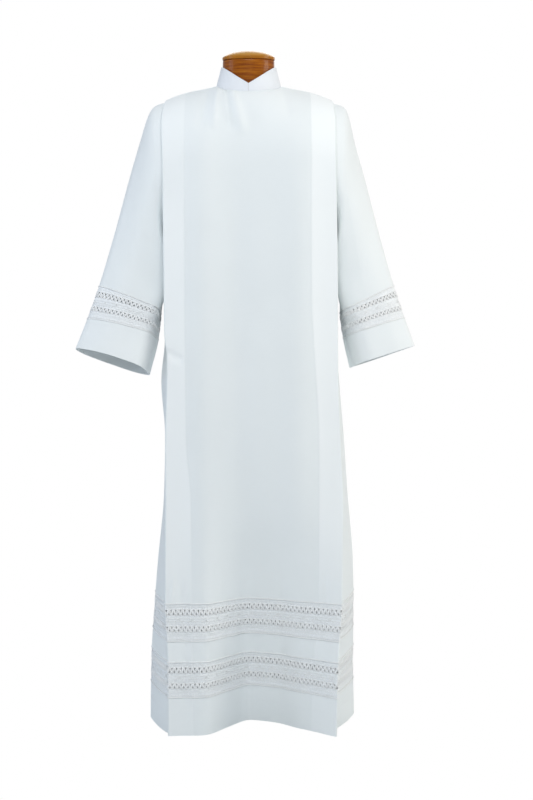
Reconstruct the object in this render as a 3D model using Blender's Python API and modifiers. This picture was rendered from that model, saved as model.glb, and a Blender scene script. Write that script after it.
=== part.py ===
"""Long white alb robe, worn by a limbless dress form with a turned wooden neck cap.

Metres, +Z up. The origin is the middle of the stand's underside, below the pole.
The front faces -Y, and left and right are as seen from the front, so left is -X.
Sizes of the robe and the form are written from the neck's own axis, which stands
FORM_Y behind the origin (a negative value: in front of the pole).
"""
import math

import bmesh
import bpy
import numpy as np

# ---- driving sizes -------------------------------------------------------------------
FORM_Y = -0.030            # neck axis, seen from the pole
CLOTH = 0.0014             # wall of every cloth piece
SEAM = 0.0003              # clear gap at a seam
SIDE_SEAM = 0.0008         # gap where two pieces meet at an angle, measured on their middles
PLY_TOP = 0.003            # distance between the layers of a pleat, in the shoulder seam
PLY = 0.005                # the same distance lower down
DROP = 0.150               # height over which the chest turns up into the shoulder seam
UNDERARM_Z = 1.165
UNDERARM_STEP = 0.0018     # the sleeve is sewn this far outside the body's wall under the arm
BAND_1_TOP, BAND_1_FOOT = 0.3149, 0.2264
BAND_2_TOP, BAND_2_FOOT = 0.1798, 0.0955
HEM_Z = 0.007
NECK_HALF = 0.0735         # half width of the neckline, at the foot of the collar
NECK_FRONT, NECK_BACK = 0.075, 0.070
NECK_Z = 1.4945
NECK_DIP = 0.0165          # the neckline is this much lower in front
COLLAR_TOP_HALF, COLLAR_TOP_FRONT = 0.0620, 0.0665
COLLAR_SIDE_Z, COLLAR_NOTCH_Z = 1.5385, 1.4975
COLLAR_BACK_RISE = 0.004
NECK_BLOCK_R, NECK_CAP_R = 0.0597, 0.0607
NECK_BLOCK_FOOT, NECK_GROOVE_Z, NECK_RIM_Z, NECK_TOP_Z = 1.4705, 1.5540, 1.5605, 1.5758
NECK_CHAMFER, CAP_CHAMFER = 0.002, 0.001      # how far the wood's sharp edges are taken off
DOME_STEPS = 5
DOME_START = math.radians(20)                 # how steeply the dome leaves the rim
POLE_R = 0.0125
BASE_T = 0.004
BASE_BAR_W = 0.030
RUNNER_X, RUNNER_W = 0.165, 0.024
RUNNER_FRONT, RUNNER_BACK = -0.105, 0.120
TORSO_FOOT_Z = 0.780
SLEEVE_LENGTH = 0.6        # turns a gap along a sleeve into a share of its length
SLEEVE_START = 0.0025      # share of a sleeve's length left open beside the armhole
SLEEVE_FULLNESS = 0.42     # how much fuller than an ellipse a sleeve is, in front, by the body
FULL_FROM, FULL_OVER = 0.08, 0.25      # the shares of its length over which that comes in
BACK_DIP_START, BACK_DIP_END = 0.40, 0.95      # where the back's shoulder seam starts to drop
FOLD_GROWTH = 0.8          # below one, the back's folds grow quickly at first
FOLD_FADE = 8              # how suddenly the back's folds die out at the side seams

WHITE = (0.86, 0.87, 0.90)
COLLECTION = "alb_robe_on_dress_form"


def table(columns, rows):
    """Turn rows under named columns into one array a column, in rising order of the first."""
    ordered = sorted(rows, key=lambda row: row[0])
    return {name: np.array([row[i] for row in ordered]) for i, name in enumerate(columns.split())}


# The front, by height: where the pleats' outer folds and inner folds are, how far forward
# the outer folds stand, how much the chest swells and the skirt falls back between them,
# how much the cut rises at the middle, and how far behind the outer fold the side panel is.
FRONT = table(
    "z left_edge right_edge left_inner right_inner edge_y swell recess rise left_open right_open",
    [
        (1.475, 0.1860, 0.1900, 0.1445, 0.1415, -0.118, 0.013, 0.000, 0.000, 0.010, 0.010),
        (1.417, 0.1945, 0.1946, 0.1446, 0.1415, -0.118, 0.013, 0.000, 0.000, 0.010, 0.010),
        (1.330, 0.1914, 0.1950, 0.1450, 0.1420, -0.119, 0.014, 0.000, 0.000, 0.010, 0.010),
        (1.007, 0.1886, 0.2000, 0.1450, 0.1430, -0.122, 0.014, 0.000, 0.000, 0.010, 0.010),
        (0.930, 0.1875, 0.2002, 0.1445, 0.1470, -0.123, 0.014, 0.000, 0.000, 0.011, 0.011),
        (0.871, 0.1825, 0.2005, 0.1440, 0.1510, -0.124, 0.013, 0.000, 0.000, 0.011, 0.011),
        (0.689, 0.1866, 0.2069, 0.1424, 0.1606, -0.126, 0.010, 0.000, 0.000, 0.012, 0.012),
        (0.551, 0.1872, 0.2133, 0.1324, 0.1616, -0.129, 0.006, 0.006, 0.000, 0.014, 0.014),
        (0.319, 0.1885, 0.2121, 0.1302, 0.1616, -0.140, 0.000, 0.046, 0.003, 0.019, 0.022),
        (0.190, 0.1835, 0.2043, 0.1290, 0.1500, -0.145, 0.000, 0.073, 0.006, 0.023, 0.034),
        (0.000, 0.1822, 0.1995, 0.1280, 0.1450, -0.149, 0.000, 0.106, 0.010, 0.027, 0.076),
    ])

# The fall-back of the skirt's front from one outer fold (-1) to the other (+1).
ACROSS = table(
    "across share",
    [(-1.00, 0.00), (-0.74, 0.06), (-0.53, 0.15), (-0.25, 0.60), (0.03, 1.00),
     (0.31, 0.90), (0.60, 0.54), (0.83, 0.24), (1.00, 0.00)])

# The sides, by height: half widths at the side seams, where those seams lie front to back,
# how wide the turn of the side panel is, and its roundness (2 an ellipse, 1 a straight cut).
SIDE = table(
    "z left right seam_left_y seam_right_y left_turn right_turn round",
    [
        (1.165, 0.1935, 0.2010, 0.000, 0.000, 0.0085, 0.0110, 2.0),
        (1.000, 0.1935, 0.2012, 0.000, 0.000, 0.0220, 0.0220, 2.0),
        (0.910, 0.1950, 0.2020, 0.000, 0.000, 0.0250, 0.0240, 2.0),
        (0.816, 0.2036, 0.2095, 0.000, 0.000, 0.0260, 0.0240, 2.0),
        (0.690, 0.1955, 0.2205, 0.000, 0.005, 0.0200, 0.0240, 1.9),
        (0.551, 0.1989, 0.2305, 0.002, 0.010, 0.0200, 0.0260, 1.7),
        (0.384, 0.2149, 0.2445, 0.008, 0.022, 0.0290, 0.0340, 1.4),
        (0.280, 0.2235, 0.2470, 0.012, 0.030, 0.0350, 0.0360, 1.3),
        (0.150, 0.2320, 0.2470, 0.016, 0.040, 0.0440, 0.0410, 1.2),
        (0.000, 0.2350, 0.2505, 0.020, 0.050, 0.0490, 0.0460, 1.2),
    ])

# The back, by height: how far back it stands, how much it rounds off towards its sides,
# and how wide its turn into the side seam is.
BACK = table(
    "z back_y round_off turn",
    [
        (1.165, 0.112, 0.027, 0.0000),
        (1.000, 0.112, 0.018, 0.0300),
        (0.816, 0.122, 0.012, 0.0600),
        (0.551, 0.132, 0.006, 0.0900),
        (0.280, 0.148, 0.000, 0.1100),
        (0.000, 0.162, 0.000, 0.1200),
    ])

# Soft folds that fall from the shoulder blades: their place from the left side seam (-1)
# to the right (+1), their depth at the hem, their half width and the height they start at.
BACK_FOLDS = [
    dict(place=-0.72, depth=0.032, half=0.120, start=1.02),
    dict(place=-0.37, depth=0.044, half=0.115, start=1.16),
    dict(place=-0.02, depth=0.036, half=0.125, start=1.08),
    dict(place=0.34, depth=0.046, half=0.115, start=1.18),
    dict(place=0.69, depth=0.034, half=0.120, start=1.04),
]

SHOULDER = table(
    "x z",
    [(0.0735, 1.4945), (0.100, 1.4880), (0.135, 1.4812), (0.168, 1.4715), (0.195, 1.4600)])

# The sleeves, by the share of their length: the outer and inner edge lines, the line of
# greatest thickness between them, where the edges, front and back lie, and how much the
# rings are raised in front (the sleeve hangs forward by this slope). The first ring, at the
# armhole, is worked out from the body.
SLEEVE_COLUMNS = ("run outer_x outer_z mid_x mid_z inner_x inner_z "
                  "edge_y front_y back_y tip")
SLEEVE_LEFT = [
    (0.05, 0.2050, 1.4545, 0.1990, 1.2990, 0.1972, 1.1520, -0.001, -0.106, 0.084, 0.01),
    (0.10, 0.2205, 1.4450, 0.2075, 1.2850, 0.1976, 1.1400, -0.002, -0.103, 0.082, 0.02),
    (0.16, 0.2300, 1.4290, 0.2140, 1.2700, 0.1977, 1.1270, -0.003, -0.100, 0.079, 0.03),
    (0.28, 0.2499, 1.3671, 0.2240, 1.2260, 0.1978, 1.0960, -0.007, -0.094, 0.071, 0.05),
    (0.42, 0.2740, 1.2850, 0.2360, 1.1680, 0.1979, 1.0620, -0.014, -0.088, 0.056, 0.08),
    (0.60, 0.3090, 1.1560, 0.2530, 1.0820, 0.1980, 1.0180, -0.028, -0.086, 0.030, 0.14),
    (0.75, 0.3430, 1.0400, 0.2700, 1.0090, 0.1985, 0.9760, -0.047, -0.094, 0.000, 0.21),
    (0.88, 0.3690, 0.9640, 0.2860, 0.9420, 0.2035, 0.9180, -0.068, -0.110, -0.026, 0.28),
    (1.00, 0.3950, 0.8950, 0.3090, 0.8680, 0.2229, 0.8370, -0.090, -0.131, -0.049, 0.34),
]
SLEEVE_RIGHT = [
    (0.05, 0.2080, 1.4525, 0.2030, 1.2980, 0.2048, 1.1520, 0.000, -0.106, 0.085, 0.01),
    (0.10, 0.2215, 1.4450, 0.2110, 1.2850, 0.2052, 1.1400, 0.000, -0.103, 0.084, 0.01),
    (0.16, 0.2295, 1.4280, 0.2170, 1.2700, 0.2054, 1.1270, -0.001, -0.099, 0.082, 0.02),
    (0.28, 0.2440, 1.3671, 0.2250, 1.2260, 0.2056, 1.0960, -0.003, -0.091, 0.076, 0.03),
    (0.42, 0.2670, 1.2850, 0.2365, 1.1680, 0.2058, 1.0620, -0.007, -0.082, 0.064, 0.05),
    (0.60, 0.3000, 1.1600, 0.2525, 1.0820, 0.2060, 1.0180, -0.015, -0.074, 0.044, 0.07),
    (0.75, 0.3340, 1.0410, 0.2700, 1.0090, 0.2065, 0.9760, -0.026, -0.073, 0.022, 0.09),
    (0.88, 0.3590, 0.9670, 0.2870, 0.9440, 0.2140, 0.9180, -0.036, -0.078, 0.006, 0.11),
    (1.00, 0.3824, 0.9000, 0.3060, 0.8740, 0.2292, 0.8480, -0.048, -0.087, -0.009, 0.12),
]
LACE_RUN_TOP, LACE_RUN_FOOT = 0.755, 0.885      # shares of the sleeve's length

# The form, by height: half width and half depth of its oval sections.
TORSO = table(
    "z half_x half_y",
    [
        (1.4695, 0.057, 0.057), (1.462, 0.080, 0.060), (1.450, 0.118, 0.066),
        (1.430, 0.145, 0.076), (1.395, 0.160, 0.089), (1.340, 0.166, 0.100),
        (1.270, 0.163, 0.106), (1.160, 0.150, 0.104), (1.050, 0.136, 0.095),
        (0.960, 0.144, 0.099), (0.880, 0.156, 0.105), (0.815, 0.157, 0.104),
        (0.788, 0.150, 0.098), (0.780, 0.138, 0.088),
    ])

# ---- how finely the facets are laid ---------------------------------------------------
NECK_STEPS, SHOULDER_STEPS = 4, 4      # columns of the front layer, centre to outer fold
FOLD_STEPS, UNDERLAY_STEPS, PANEL_STEPS = 2, 1, 6
ARC_ROWS, ARMHOLE_ROWS, SKIRT_ROWS = 4, 4, 5
BACK_STEPS = 13
SLEEVE_SIDES, SLEEVE_ROWS = 20, 10
COLLAR_STEPS = 24
ROUND_SIDES, TORSO_SIDES = 28, 24


def curve(rows, name, at):
    """Read one column at any height, along a smooth curve that never overshoots its rows."""
    keys = next(iter(rows.values()))
    values = rows[name]
    gaps = np.diff(keys)
    slopes = np.diff(values) / gaps
    tangents = np.zeros(len(keys))
    before, after = slopes[:-1], slopes[1:]
    agree = before * after > 0
    safe_sum = np.where(agree, before + after, 1.0)
    tangents[1:-1] = np.where(agree, 2 * before * after / safe_sum, 0.0)
    tangents[0], tangents[-1] = slopes[0], slopes[-1]
    at = np.clip(at, keys[0], keys[-1])
    i = np.clip(np.searchsorted(keys, at, side="right") - 1, 0, len(keys) - 2)
    t = (at - keys[i]) / gaps[i]
    rise = values[i + 1] - values[i]
    start, end = tangents[i] * gaps[i], tangents[i + 1] * gaps[i]
    return values[i] + t * (start + t * (3 * rise - 2 * start - end + t * (start + end - 2 * rise)))


def eased(t):
    """Zero below 0, one above 1 and a smooth step between."""
    t = min(max(t, 0.0), 1.0)
    return t * t * (3 - 2 * t)


def side_name(side):
    return "left" if side < 0 else "right"


# ---- the front: a panel, a knife pleat and a side panel in one length of cloth --------

def front_layer_y(side, x, z):
    """How far forward the front's top layer is at half width x and height z."""
    across = side * np.clip(x / curve(FRONT, side_name(side) + "_edge", z), 0, 1)
    swell = curve(FRONT, "swell", z) * (1 - across ** 2)
    fall = curve(FRONT, "recess", z) * curve(ACROSS, "share", across)
    return curve(FRONT, "edge_y", z) - swell + fall


def front_rise(side, x, z):
    """How much the cut's cross lines rise at half width x, above their height at the sides."""
    across = side * np.clip(x / curve(FRONT, side_name(side) + "_edge", z), 0, 1)
    return curve(FRONT, "rise", z) * curve(ACROSS, "share", across)


def turn_share(round_power, angle):
    """Sine and cosine of a superellipse turn; a power of 2 gives an ordinary ellipse."""
    return np.sin(angle) ** (2 / round_power), np.cos(angle) ** (2 / round_power)


def front_place(side, layer, share, z, armhole_turn):
    """Half width and depth of one column of the front at heights z.

    layer is front, edge_fold, underlay, inner_fold or panel, and share runs from 0 to 1
    along it. armhole_turn, 0 to a right angle, is where the armhole cuts the side panel.
    """
    name = side_name(side)
    edge = curve(FRONT, name + "_edge", z)
    inner = curve(FRONT, name + "_inner", z)
    opening = curve(FRONT, name + "_open", z)
    radius = PLY / 2
    middle = np.maximum(PLY, (opening - PLY) / 2)
    if layer == "front":
        x = edge * share
        return x, front_layer_y(side, x, z)
    if layer == "edge_fold":
        x = edge + radius * math.sin(math.pi * share)
        return x, front_layer_y(side, edge, z) + radius * (1 - math.cos(math.pi * share))
    if layer == "underlay":
        x = edge + (inner - edge) * share
        return x, front_layer_y(side, x, z) + PLY + (middle - PLY) * share
    if layer == "inner_fold":
        x = inner - radius * math.sin(math.pi * share)
        fold_y = front_layer_y(side, inner, z) + middle
        return x, fold_y + radius * (1 - math.cos(math.pi * share))
    seam_x = curve(SIDE, name, z)
    seam_y = curve(SIDE, "seam_" + name + "_y", z) - SIDE_SEAM / 2
    turn_x = seam_x - curve(SIDE, name + "_turn", z)
    corner = 1 / (1 + 2 * armhole_turn / (math.pi / 2))
    straight = np.minimum(share / corner, 1.0)
    beyond = np.clip((share - corner) / np.maximum(1 - corner, 1e-6), 0, 1)
    sine, cosine = turn_share(curve(SIDE, "round", z), armhole_turn * beyond)
    flat_x = inner + (turn_x - inner) * straight
    behind = middle + PLY + (opening - middle - PLY) * straight
    turn_y = front_layer_y(side, flat_x, z) + behind
    x = np.where(beyond > 0, turn_x + (seam_x - turn_x) * sine, flat_x)
    y = np.where(beyond > 0, seam_y + (turn_y - seam_y) * cosine, turn_y)
    return x, y


def front_columns():
    """The columns of half the front, from its centre to the side seam."""
    edge_top = curve(FRONT, "right_edge", NECK_Z)
    neck_share = NECK_HALF / edge_top
    columns = [("front", neck_share * math.sin(math.pi / 2 * i / NECK_STEPS))
               for i in range(NECK_STEPS + 1)]
    columns += [("front", neck_share + (1 - neck_share) * i / SHOULDER_STEPS)
                for i in range(1, SHOULDER_STEPS + 1)]
    columns += [("edge_fold", i / FOLD_STEPS) for i in range(1, FOLD_STEPS + 1)]
    columns += [("underlay", i / UNDERLAY_STEPS) for i in range(1, UNDERLAY_STEPS + 1)]
    columns += [("inner_fold", i / FOLD_STEPS) for i in range(1, FOLD_STEPS + 1)]
    columns += [("panel", i / PANEL_STEPS) for i in range(1, PANEL_STEPS + 1)]
    return columns


def layer_depth(layer, share):
    """How many layers of the pleat lie above a column where it meets the shoulder seam."""
    if layer in ("front", "underlay"):
        return 0.0 if layer == "front" else 1.0
    if layer == "edge_fold":
        return (1 - math.cos(math.pi * share)) / 2
    if layer == "inner_fold":
        return 1 + (1 - math.cos(math.pi * share)) / 2
    return 2.0


def neckline(x, front):
    """Depth, from the neck axis, and height of the neckline at half width x."""
    roundness = np.sqrt(np.clip(1 - (x / NECK_HALF) ** 2, 0, 1))
    if front:
        return -NECK_FRONT * roundness, NECK_Z - NECK_DIP * roundness
    return NECK_BACK * roundness, NECK_Z + COLLAR_BACK_RISE * roundness


def top_edge(x_top, plies, front):
    """Where a column starts, in the neckline or the shoulder seam, and its arc's centre height."""
    sign = -1 if front else 1
    shoulder_z = float(curve(SHOULDER, "z", x_top))
    centre_z = shoulder_z - DROP
    if x_top < NECK_HALF - 1e-6:
        y, z = neckline(x_top, front)
        return float(y), float(z), centre_z
    return sign * SIDE_SEAM / 2, shoulder_z - plies * PLY_TOP, centre_z


def body_rows(foot_z):
    """The rows of a body panel: shoulder arc, armhole and skirt, each with its share."""
    rows = [("arc", math.pi / 2 * i / ARC_ROWS) for i in range(ARC_ROWS + 1)]
    rows += [("armhole", math.pi / 2 * i / ARMHOLE_ROWS) for i in range(1, ARMHOLE_ROWS + 1)]
    rows += [("skirt", i / SKIRT_ROWS) for i in range(1, SKIRT_ROWS + 1)]
    return [(zone, share, foot_z) for zone, share in rows]


def body_point(side, column, row, front):
    """One point of a body panel: its column is followed down from the shoulder or neckline."""
    layer, share = column
    zone, turn, foot_z = row
    place = front_place if front else back_place
    plies = layer_depth(layer, share) if front else back_dip(share)
    x_top = float(place(side, layer, share, np.array(NECK_Z), np.array(0.0))[0])
    start_y, start_z, centre_z = top_edge(x_top, plies, front)
    armhole_turn = 0.0
    if zone == "arc":
        z = centre_z + (start_z - centre_z) * math.cos(turn)
    elif zone == "armhole":
        z = centre_z - (centre_z - UNDERARM_Z) * math.sin(turn)
        armhole_turn = turn
    else:
        z = UNDERARM_Z + (foot_z - UNDERARM_Z) * turn
        armhole_turn = math.pi / 2
    x, y = place(side, layer, share, np.array(z), np.array(armhole_turn))
    x, y = float(x), float(y)
    if zone == "arc":
        y = start_y + (y - start_y) * math.sin(turn)
    if zone == "skirt" and front:
        z += float(front_rise(side, np.array(x), np.array(z))) * turn
    return side * x, y, z


# ---- the back -------------------------------------------------------------------------

def back_dip(share):
    """How many plies lower the back's shoulder seam lies, so that it meets the sleeve's top."""
    return 2 * eased((share - BACK_DIP_START) / (BACK_DIP_END - BACK_DIP_START))


def back_place(side, layer, share, z, armhole_turn):
    """Half width and depth of one column of the back; share runs from centre to side seam."""
    name = side_name(side)
    seam_x = curve(SIDE, name, z)
    seam_y = curve(SIDE, "seam_" + name + "_y", z) + SIDE_SEAM / 2
    turn_x = seam_x - curve(SIDE, name + "_turn", UNDERARM_Z) - curve(BACK, "turn", z)
    flat_y = curve(BACK, "back_y", z) - curve(BACK, "round_off", z)
    turn_length = (flat_y - seam_y) * armhole_turn / (math.pi / 2)
    corner = turn_x / (turn_x + turn_length)
    straight = np.minimum(share / corner, 1.0)
    beyond = np.clip((share - corner) / np.maximum(1 - corner, 1e-6), 0, 1)
    angle = armhole_turn * beyond
    flat_x = turn_x * straight
    flat_y = flat_y + curve(BACK, "round_off", z) * (1 - straight ** 2)
    x = np.where(beyond > 0, turn_x + (seam_x - turn_x) * np.sin(angle), flat_x)
    y = np.where(beyond > 0, seam_y + (flat_y - seam_y) * np.cos(angle), flat_y)
    swing = back_fold(side * share, z)
    return x + swing * np.sin(angle), y + swing * np.cos(angle)


def back_fold(place, z):
    """How far the soft folds stand out of the back at a place between the side seams."""
    total = 0.0
    for fold in BACK_FOLDS:
        grown = np.clip((fold["start"] - z) / fold["start"], 0, 1) ** FOLD_GROWTH
        ridge = np.exp(-((place - fold["place"]) / fold["half"]) ** 2)
        total = total + fold["depth"] * grown * ridge
    return total * (1 - place ** FOLD_FADE)


def back_columns():
    neck_share = NECK_HALF / float(curve(SIDE, "right", NECK_Z) - curve(SIDE, "right_turn", NECK_Z))
    columns = [("back", neck_share * math.sin(math.pi / 2 * i / NECK_STEPS))
               for i in range(NECK_STEPS + 1)]
    columns += [("back", neck_share + (1 - neck_share) * i / BACK_STEPS)
                for i in range(1, BACK_STEPS + 1)]
    return columns


# ---- meshes ---------------------------------------------------------------------------

def grid_mesh(points, name, wrap=False):
    """A sheet of four-sided faces over a grid of points; wrap closes it round its columns."""
    points = np.asarray(points, dtype=float)
    rows, columns = points.shape[:2]
    last = columns if wrap else columns - 1
    faces = [(r * columns + c, (r + 1) * columns + c,
              (r + 1) * columns + (c + 1) % columns, r * columns + (c + 1) % columns)
             for r in range(rows - 1) for c in range(last)]
    mesh = bpy.data.meshes.new(name)
    mesh.from_pydata([tuple(p) for p in points.reshape(-1, 3)], [], faces)
    mesh.validate()
    return mesh


def material(name, colour, roughness, metallic=0.0):
    made = bpy.data.materials.new(name)
    made.use_nodes = True
    surface = made.node_tree.nodes["Principled BSDF"]
    surface.inputs["Base Color"].default_value = (*colour, 1.0)
    surface.inputs["Roughness"].default_value = roughness
    surface.inputs["Metallic"].default_value = metallic
    return made


def add_object(name, mesh, finish, shift_y=FORM_Y):
    made = bpy.data.objects.new(name, mesh)
    made.location = (0, shift_y, 0)
    mesh.materials.append(material(name + "_finish", *finish))
    bpy.data.collections[COLLECTION].objects.link(made)
    return made


def cloth_piece(name, points, wrap=False):
    """A cloth wall: the sheet through the points, given its thickness evenly on both sides."""
    piece = add_object(name, grid_mesh(points, name, wrap), (WHITE, 0.85))
    facets = piece.modifiers.new("facets", "TRIANGULATE")
    facets.quad_method = "SHORTEST_DIAGONAL"
    wall = piece.modifiers.new("wall", "SOLIDIFY")
    wall.thickness = CLOTH
    wall.offset = 0.0
    wall.use_rim = True
    return piece


def body_panel(front):
    """Grid of the front or the back from the shoulders to the upper lace band."""
    half = front_columns() if front else back_columns()
    foot_z = BAND_1_TOP + SEAM / 2
    rows = body_rows(foot_z)
    grid = []
    for row in rows:
        left = [body_point(-1, column, row, front) for column in reversed(half[1:])]
        right = [body_point(1, column, row, front) for column in half]
        grid.append(left + right)
    return grid


def skirt_band(front, top_z, foot_z, rows):
    """Grid of one band of the skirt between two cross seams, a gap short at each."""
    half = front_columns() if front else back_columns()
    place = front_place if front else back_place
    grid = []
    for i in range(rows + 1):
        level = top_z - SEAM / 2 + (foot_z - top_z + SEAM) * i / rows
        line = []
        for side, columns in ((-1, list(reversed(half[1:]))), (1, half)):
            for layer, share in columns:
                x, y = place(side, layer, share, np.array(level), np.array(math.pi / 2))
                z = level + (float(front_rise(side, x, np.array(level))) if front else 0.0)
                line.append((side * float(x), float(y), z))
        grid.append(line)
    return grid


def sleeve_table(side, rows):
    """The sleeve's rows with the armhole's ring before them."""
    name = side_name(side)
    edge_x = float(curve(SIDE, name, UNDERARM_Z) - curve(SIDE, name + "_turn", UNDERARM_Z))
    underarm_x = float(curve(SIDE, name, UNDERARM_Z)) + UNDERARM_STEP
    seam_z = float(curve(SHOULDER, "z", edge_x))
    top_z, centre_z = seam_z - 2 * PLY_TOP, seam_z - DROP
    front_y = float(front_layer_y(side, edge_x, centre_z) + curve(FRONT, name + "_open", centre_z))
    back_y = float(curve(BACK, "back_y", UNDERARM_Z) - curve(BACK, "round_off", UNDERARM_Z))
    armhole = (0.0, edge_x, top_z, edge_x, centre_z, underarm_x, UNDERARM_Z, 0.0, front_y, back_y, 0.0)
    return table(SLEEVE_COLUMNS, [armhole] + rows)


def sleeve_grid(rows_table, side, start, end, rows):
    """Rings of a sleeve between two shares of its length."""
    grid = []
    for i in range(rows + 1):
        run = start + (end - start) * i / rows
        at = {name: float(curve(rows_table, name, np.array(run))) for name in rows_table}
        ring = []
        for k in range(SLEEVE_SIDES):
            angle = 2 * math.pi * k / SLEEVE_SIDES
            up, down = max(math.cos(angle), 0.0), max(-math.cos(angle), 0.0)
            ahead, behind = max(math.sin(angle), 0.0), max(-math.sin(angle), 0.0)
            if down > 0 and ahead > 0:
                power = 1 - SLEEVE_FULLNESS * eased((run - FULL_FROM) / FULL_OVER)
                down, ahead = down ** power, ahead ** power
            x = at["mid_x"] + (at["outer_x"] - at["mid_x"]) * up + (at["inner_x"] - at["mid_x"]) * down
            z = at["mid_z"] + (at["outer_z"] - at["mid_z"]) * up + (at["inner_z"] - at["mid_z"]) * down
            out_y = (at["front_y"] - at["edge_y"]) * ahead + (at["back_y"] - at["edge_y"]) * behind
            ring.append((side * x, at["edge_y"] + out_y, z - at["tip"] * out_y))
        grid.append(ring)
    return grid


def collar_grid(rows):
    """The standing collar: a strip from the centre front, right round and back to it."""
    grid = []
    end_gap = SEAM / 2 / NECK_FRONT
    for i in range(rows + 1):
        line = []
        for k in range(COLLAR_STEPS + 1):
            angle = end_gap + (2 * math.pi - 2 * end_gap) * k / COLLAR_STEPS
            sine, cosine = math.sin(angle), math.cos(angle)
            ahead = cosine > 0
            foot_y, foot_z = neckline(np.array(NECK_HALF * abs(sine)), ahead)
            foot = (NECK_HALF * sine, float(foot_y), float(foot_z) + CLOTH / 2 + SEAM)
            side_z = COLLAR_SIDE_Z + (0 if ahead else COLLAR_BACK_RISE * abs(cosine))
            arm = COLLAR_NOTCH_Z + (COLLAR_SIDE_Z - COLLAR_NOTCH_Z) * abs(sine)
            top_z = arm if ahead else side_z
            lean = (top_z - foot[2]) / (COLLAR_SIDE_Z - NECK_Z)
            top_x = (NECK_HALF + (COLLAR_TOP_HALF - NECK_HALF) * lean) * sine
            foot_depth = NECK_FRONT if ahead else NECK_BACK
            top_y = -(foot_depth + (COLLAR_TOP_FRONT - NECK_FRONT) * lean) * cosine
            t = i / rows
            line.append((foot[0] + (top_x - foot[0]) * t, foot[1] + (top_y - foot[1]) * t,
                         foot[2] + (top_z - foot[2]) * t))
        grid.append(line)
    return grid


# ---- the form and its stand -------------------------------------------------------------

def turned(name, profile, finish):
    """A closed turned solid: the profile runs down its outer side, from axis to axis."""
    mesh = bpy.data.meshes.new(name)
    edges = [(i, i + 1) for i in range(len(profile) - 1)]
    mesh.from_pydata([(r, 0, z) for r, z in profile], edges, [])
    made = add_object(name, mesh, finish)
    screw = made.modifiers.new("turning", "SCREW")
    screw.steps = ROUND_SIDES
    screw.render_steps = ROUND_SIDES
    screw.use_merge_vertices = True
    screw.merge_threshold = 0.00005
    return made


def torso():
    """The limbless body: oval sections by height, closed flat at the neck and the foot."""
    shape = bmesh.new()
    rings = []
    for z, half_x, half_y in zip(TORSO["z"], TORSO["half_x"], TORSO["half_y"]):
        ring = []
        for k in range(TORSO_SIDES):
            angle = 2 * math.pi * k / TORSO_SIDES
            ring.append(shape.verts.new((half_x * math.cos(angle), half_y * math.sin(angle), z)))
        rings.append(ring)
    for lower, upper in zip(rings, rings[1:]):
        for k in range(TORSO_SIDES):
            after = (k + 1) % TORSO_SIDES
            shape.faces.new((lower[k], lower[after], upper[after], upper[k]))
    shape.faces.new(list(reversed(rings[0])))
    shape.faces.new(rings[-1])
    mesh = bpy.data.meshes.new("form_torso")
    shape.to_mesh(mesh)
    shape.free()
    return add_object("form_torso", mesh, ((0.80, 0.77, 0.71), 0.8))


def box(name, low, high, finish):
    """A rectangular bar between two corners."""
    shape = bmesh.new()
    bmesh.ops.create_cube(shape, size=1.0)
    for vert in shape.verts:
        for axis in range(3):
            middle = (low[axis] + high[axis]) / 2
            vert.co[axis] = middle + vert.co[axis] * (high[axis] - low[axis])
    mesh = bpy.data.meshes.new(name)
    shape.to_mesh(mesh)
    shape.free()
    return add_object(name, mesh, finish, shift_y=0)


def rod(name, radius, foot_z, top_z, finish):
    """An upright round bar on the origin's axis."""
    shape = bmesh.new()
    bmesh.ops.create_cone(shape, cap_ends=True, segments=ROUND_SIDES, radius1=radius,
                          radius2=radius, depth=top_z - foot_z)
    bmesh.ops.translate(shape, verts=shape.verts, vec=(0, 0, (foot_z + top_z) / 2))
    mesh = bpy.data.meshes.new(name)
    shape.to_mesh(mesh)
    shape.free()
    return add_object(name, mesh, finish, shift_y=0)


def build_robe():
    cloth_piece("front_body", body_panel(True))
    cloth_piece("back_body", body_panel(False))
    bands = [("lace_hem_upper", BAND_1_TOP, BAND_1_FOOT), ("plain_band", BAND_1_FOOT, BAND_2_TOP),
             ("lace_hem_lower", BAND_2_TOP, BAND_2_FOOT), ("hem", BAND_2_FOOT, HEM_Z)]
    for name, top_z, foot_z in bands:
        cloth_piece(name + "_front", skirt_band(True, top_z, foot_z, 1))
        cloth_piece(name + "_back", skirt_band(False, top_z, foot_z, 1))
    for side, rows in ((-1, sleeve_table(-1, SLEEVE_LEFT)), (1, sleeve_table(1, SLEEVE_RIGHT))):
        name = side_name(side)
        half_gap = SEAM / 2 / SLEEVE_LENGTH
        cloth_piece("sleeve_" + name,
                    sleeve_grid(rows, side, SLEEVE_START, LACE_RUN_TOP - half_gap, SLEEVE_ROWS), True)
        cloth_piece("lace_sleeve_" + name,
                    sleeve_grid(rows, side, LACE_RUN_TOP + half_gap, LACE_RUN_FOOT - half_gap, 1), True)
        cloth_piece("cuff_" + name,
                    sleeve_grid(rows, side, LACE_RUN_FOOT + half_gap, 1.0, 1), True)
    cloth_piece("collar", collar_grid(1))


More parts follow.
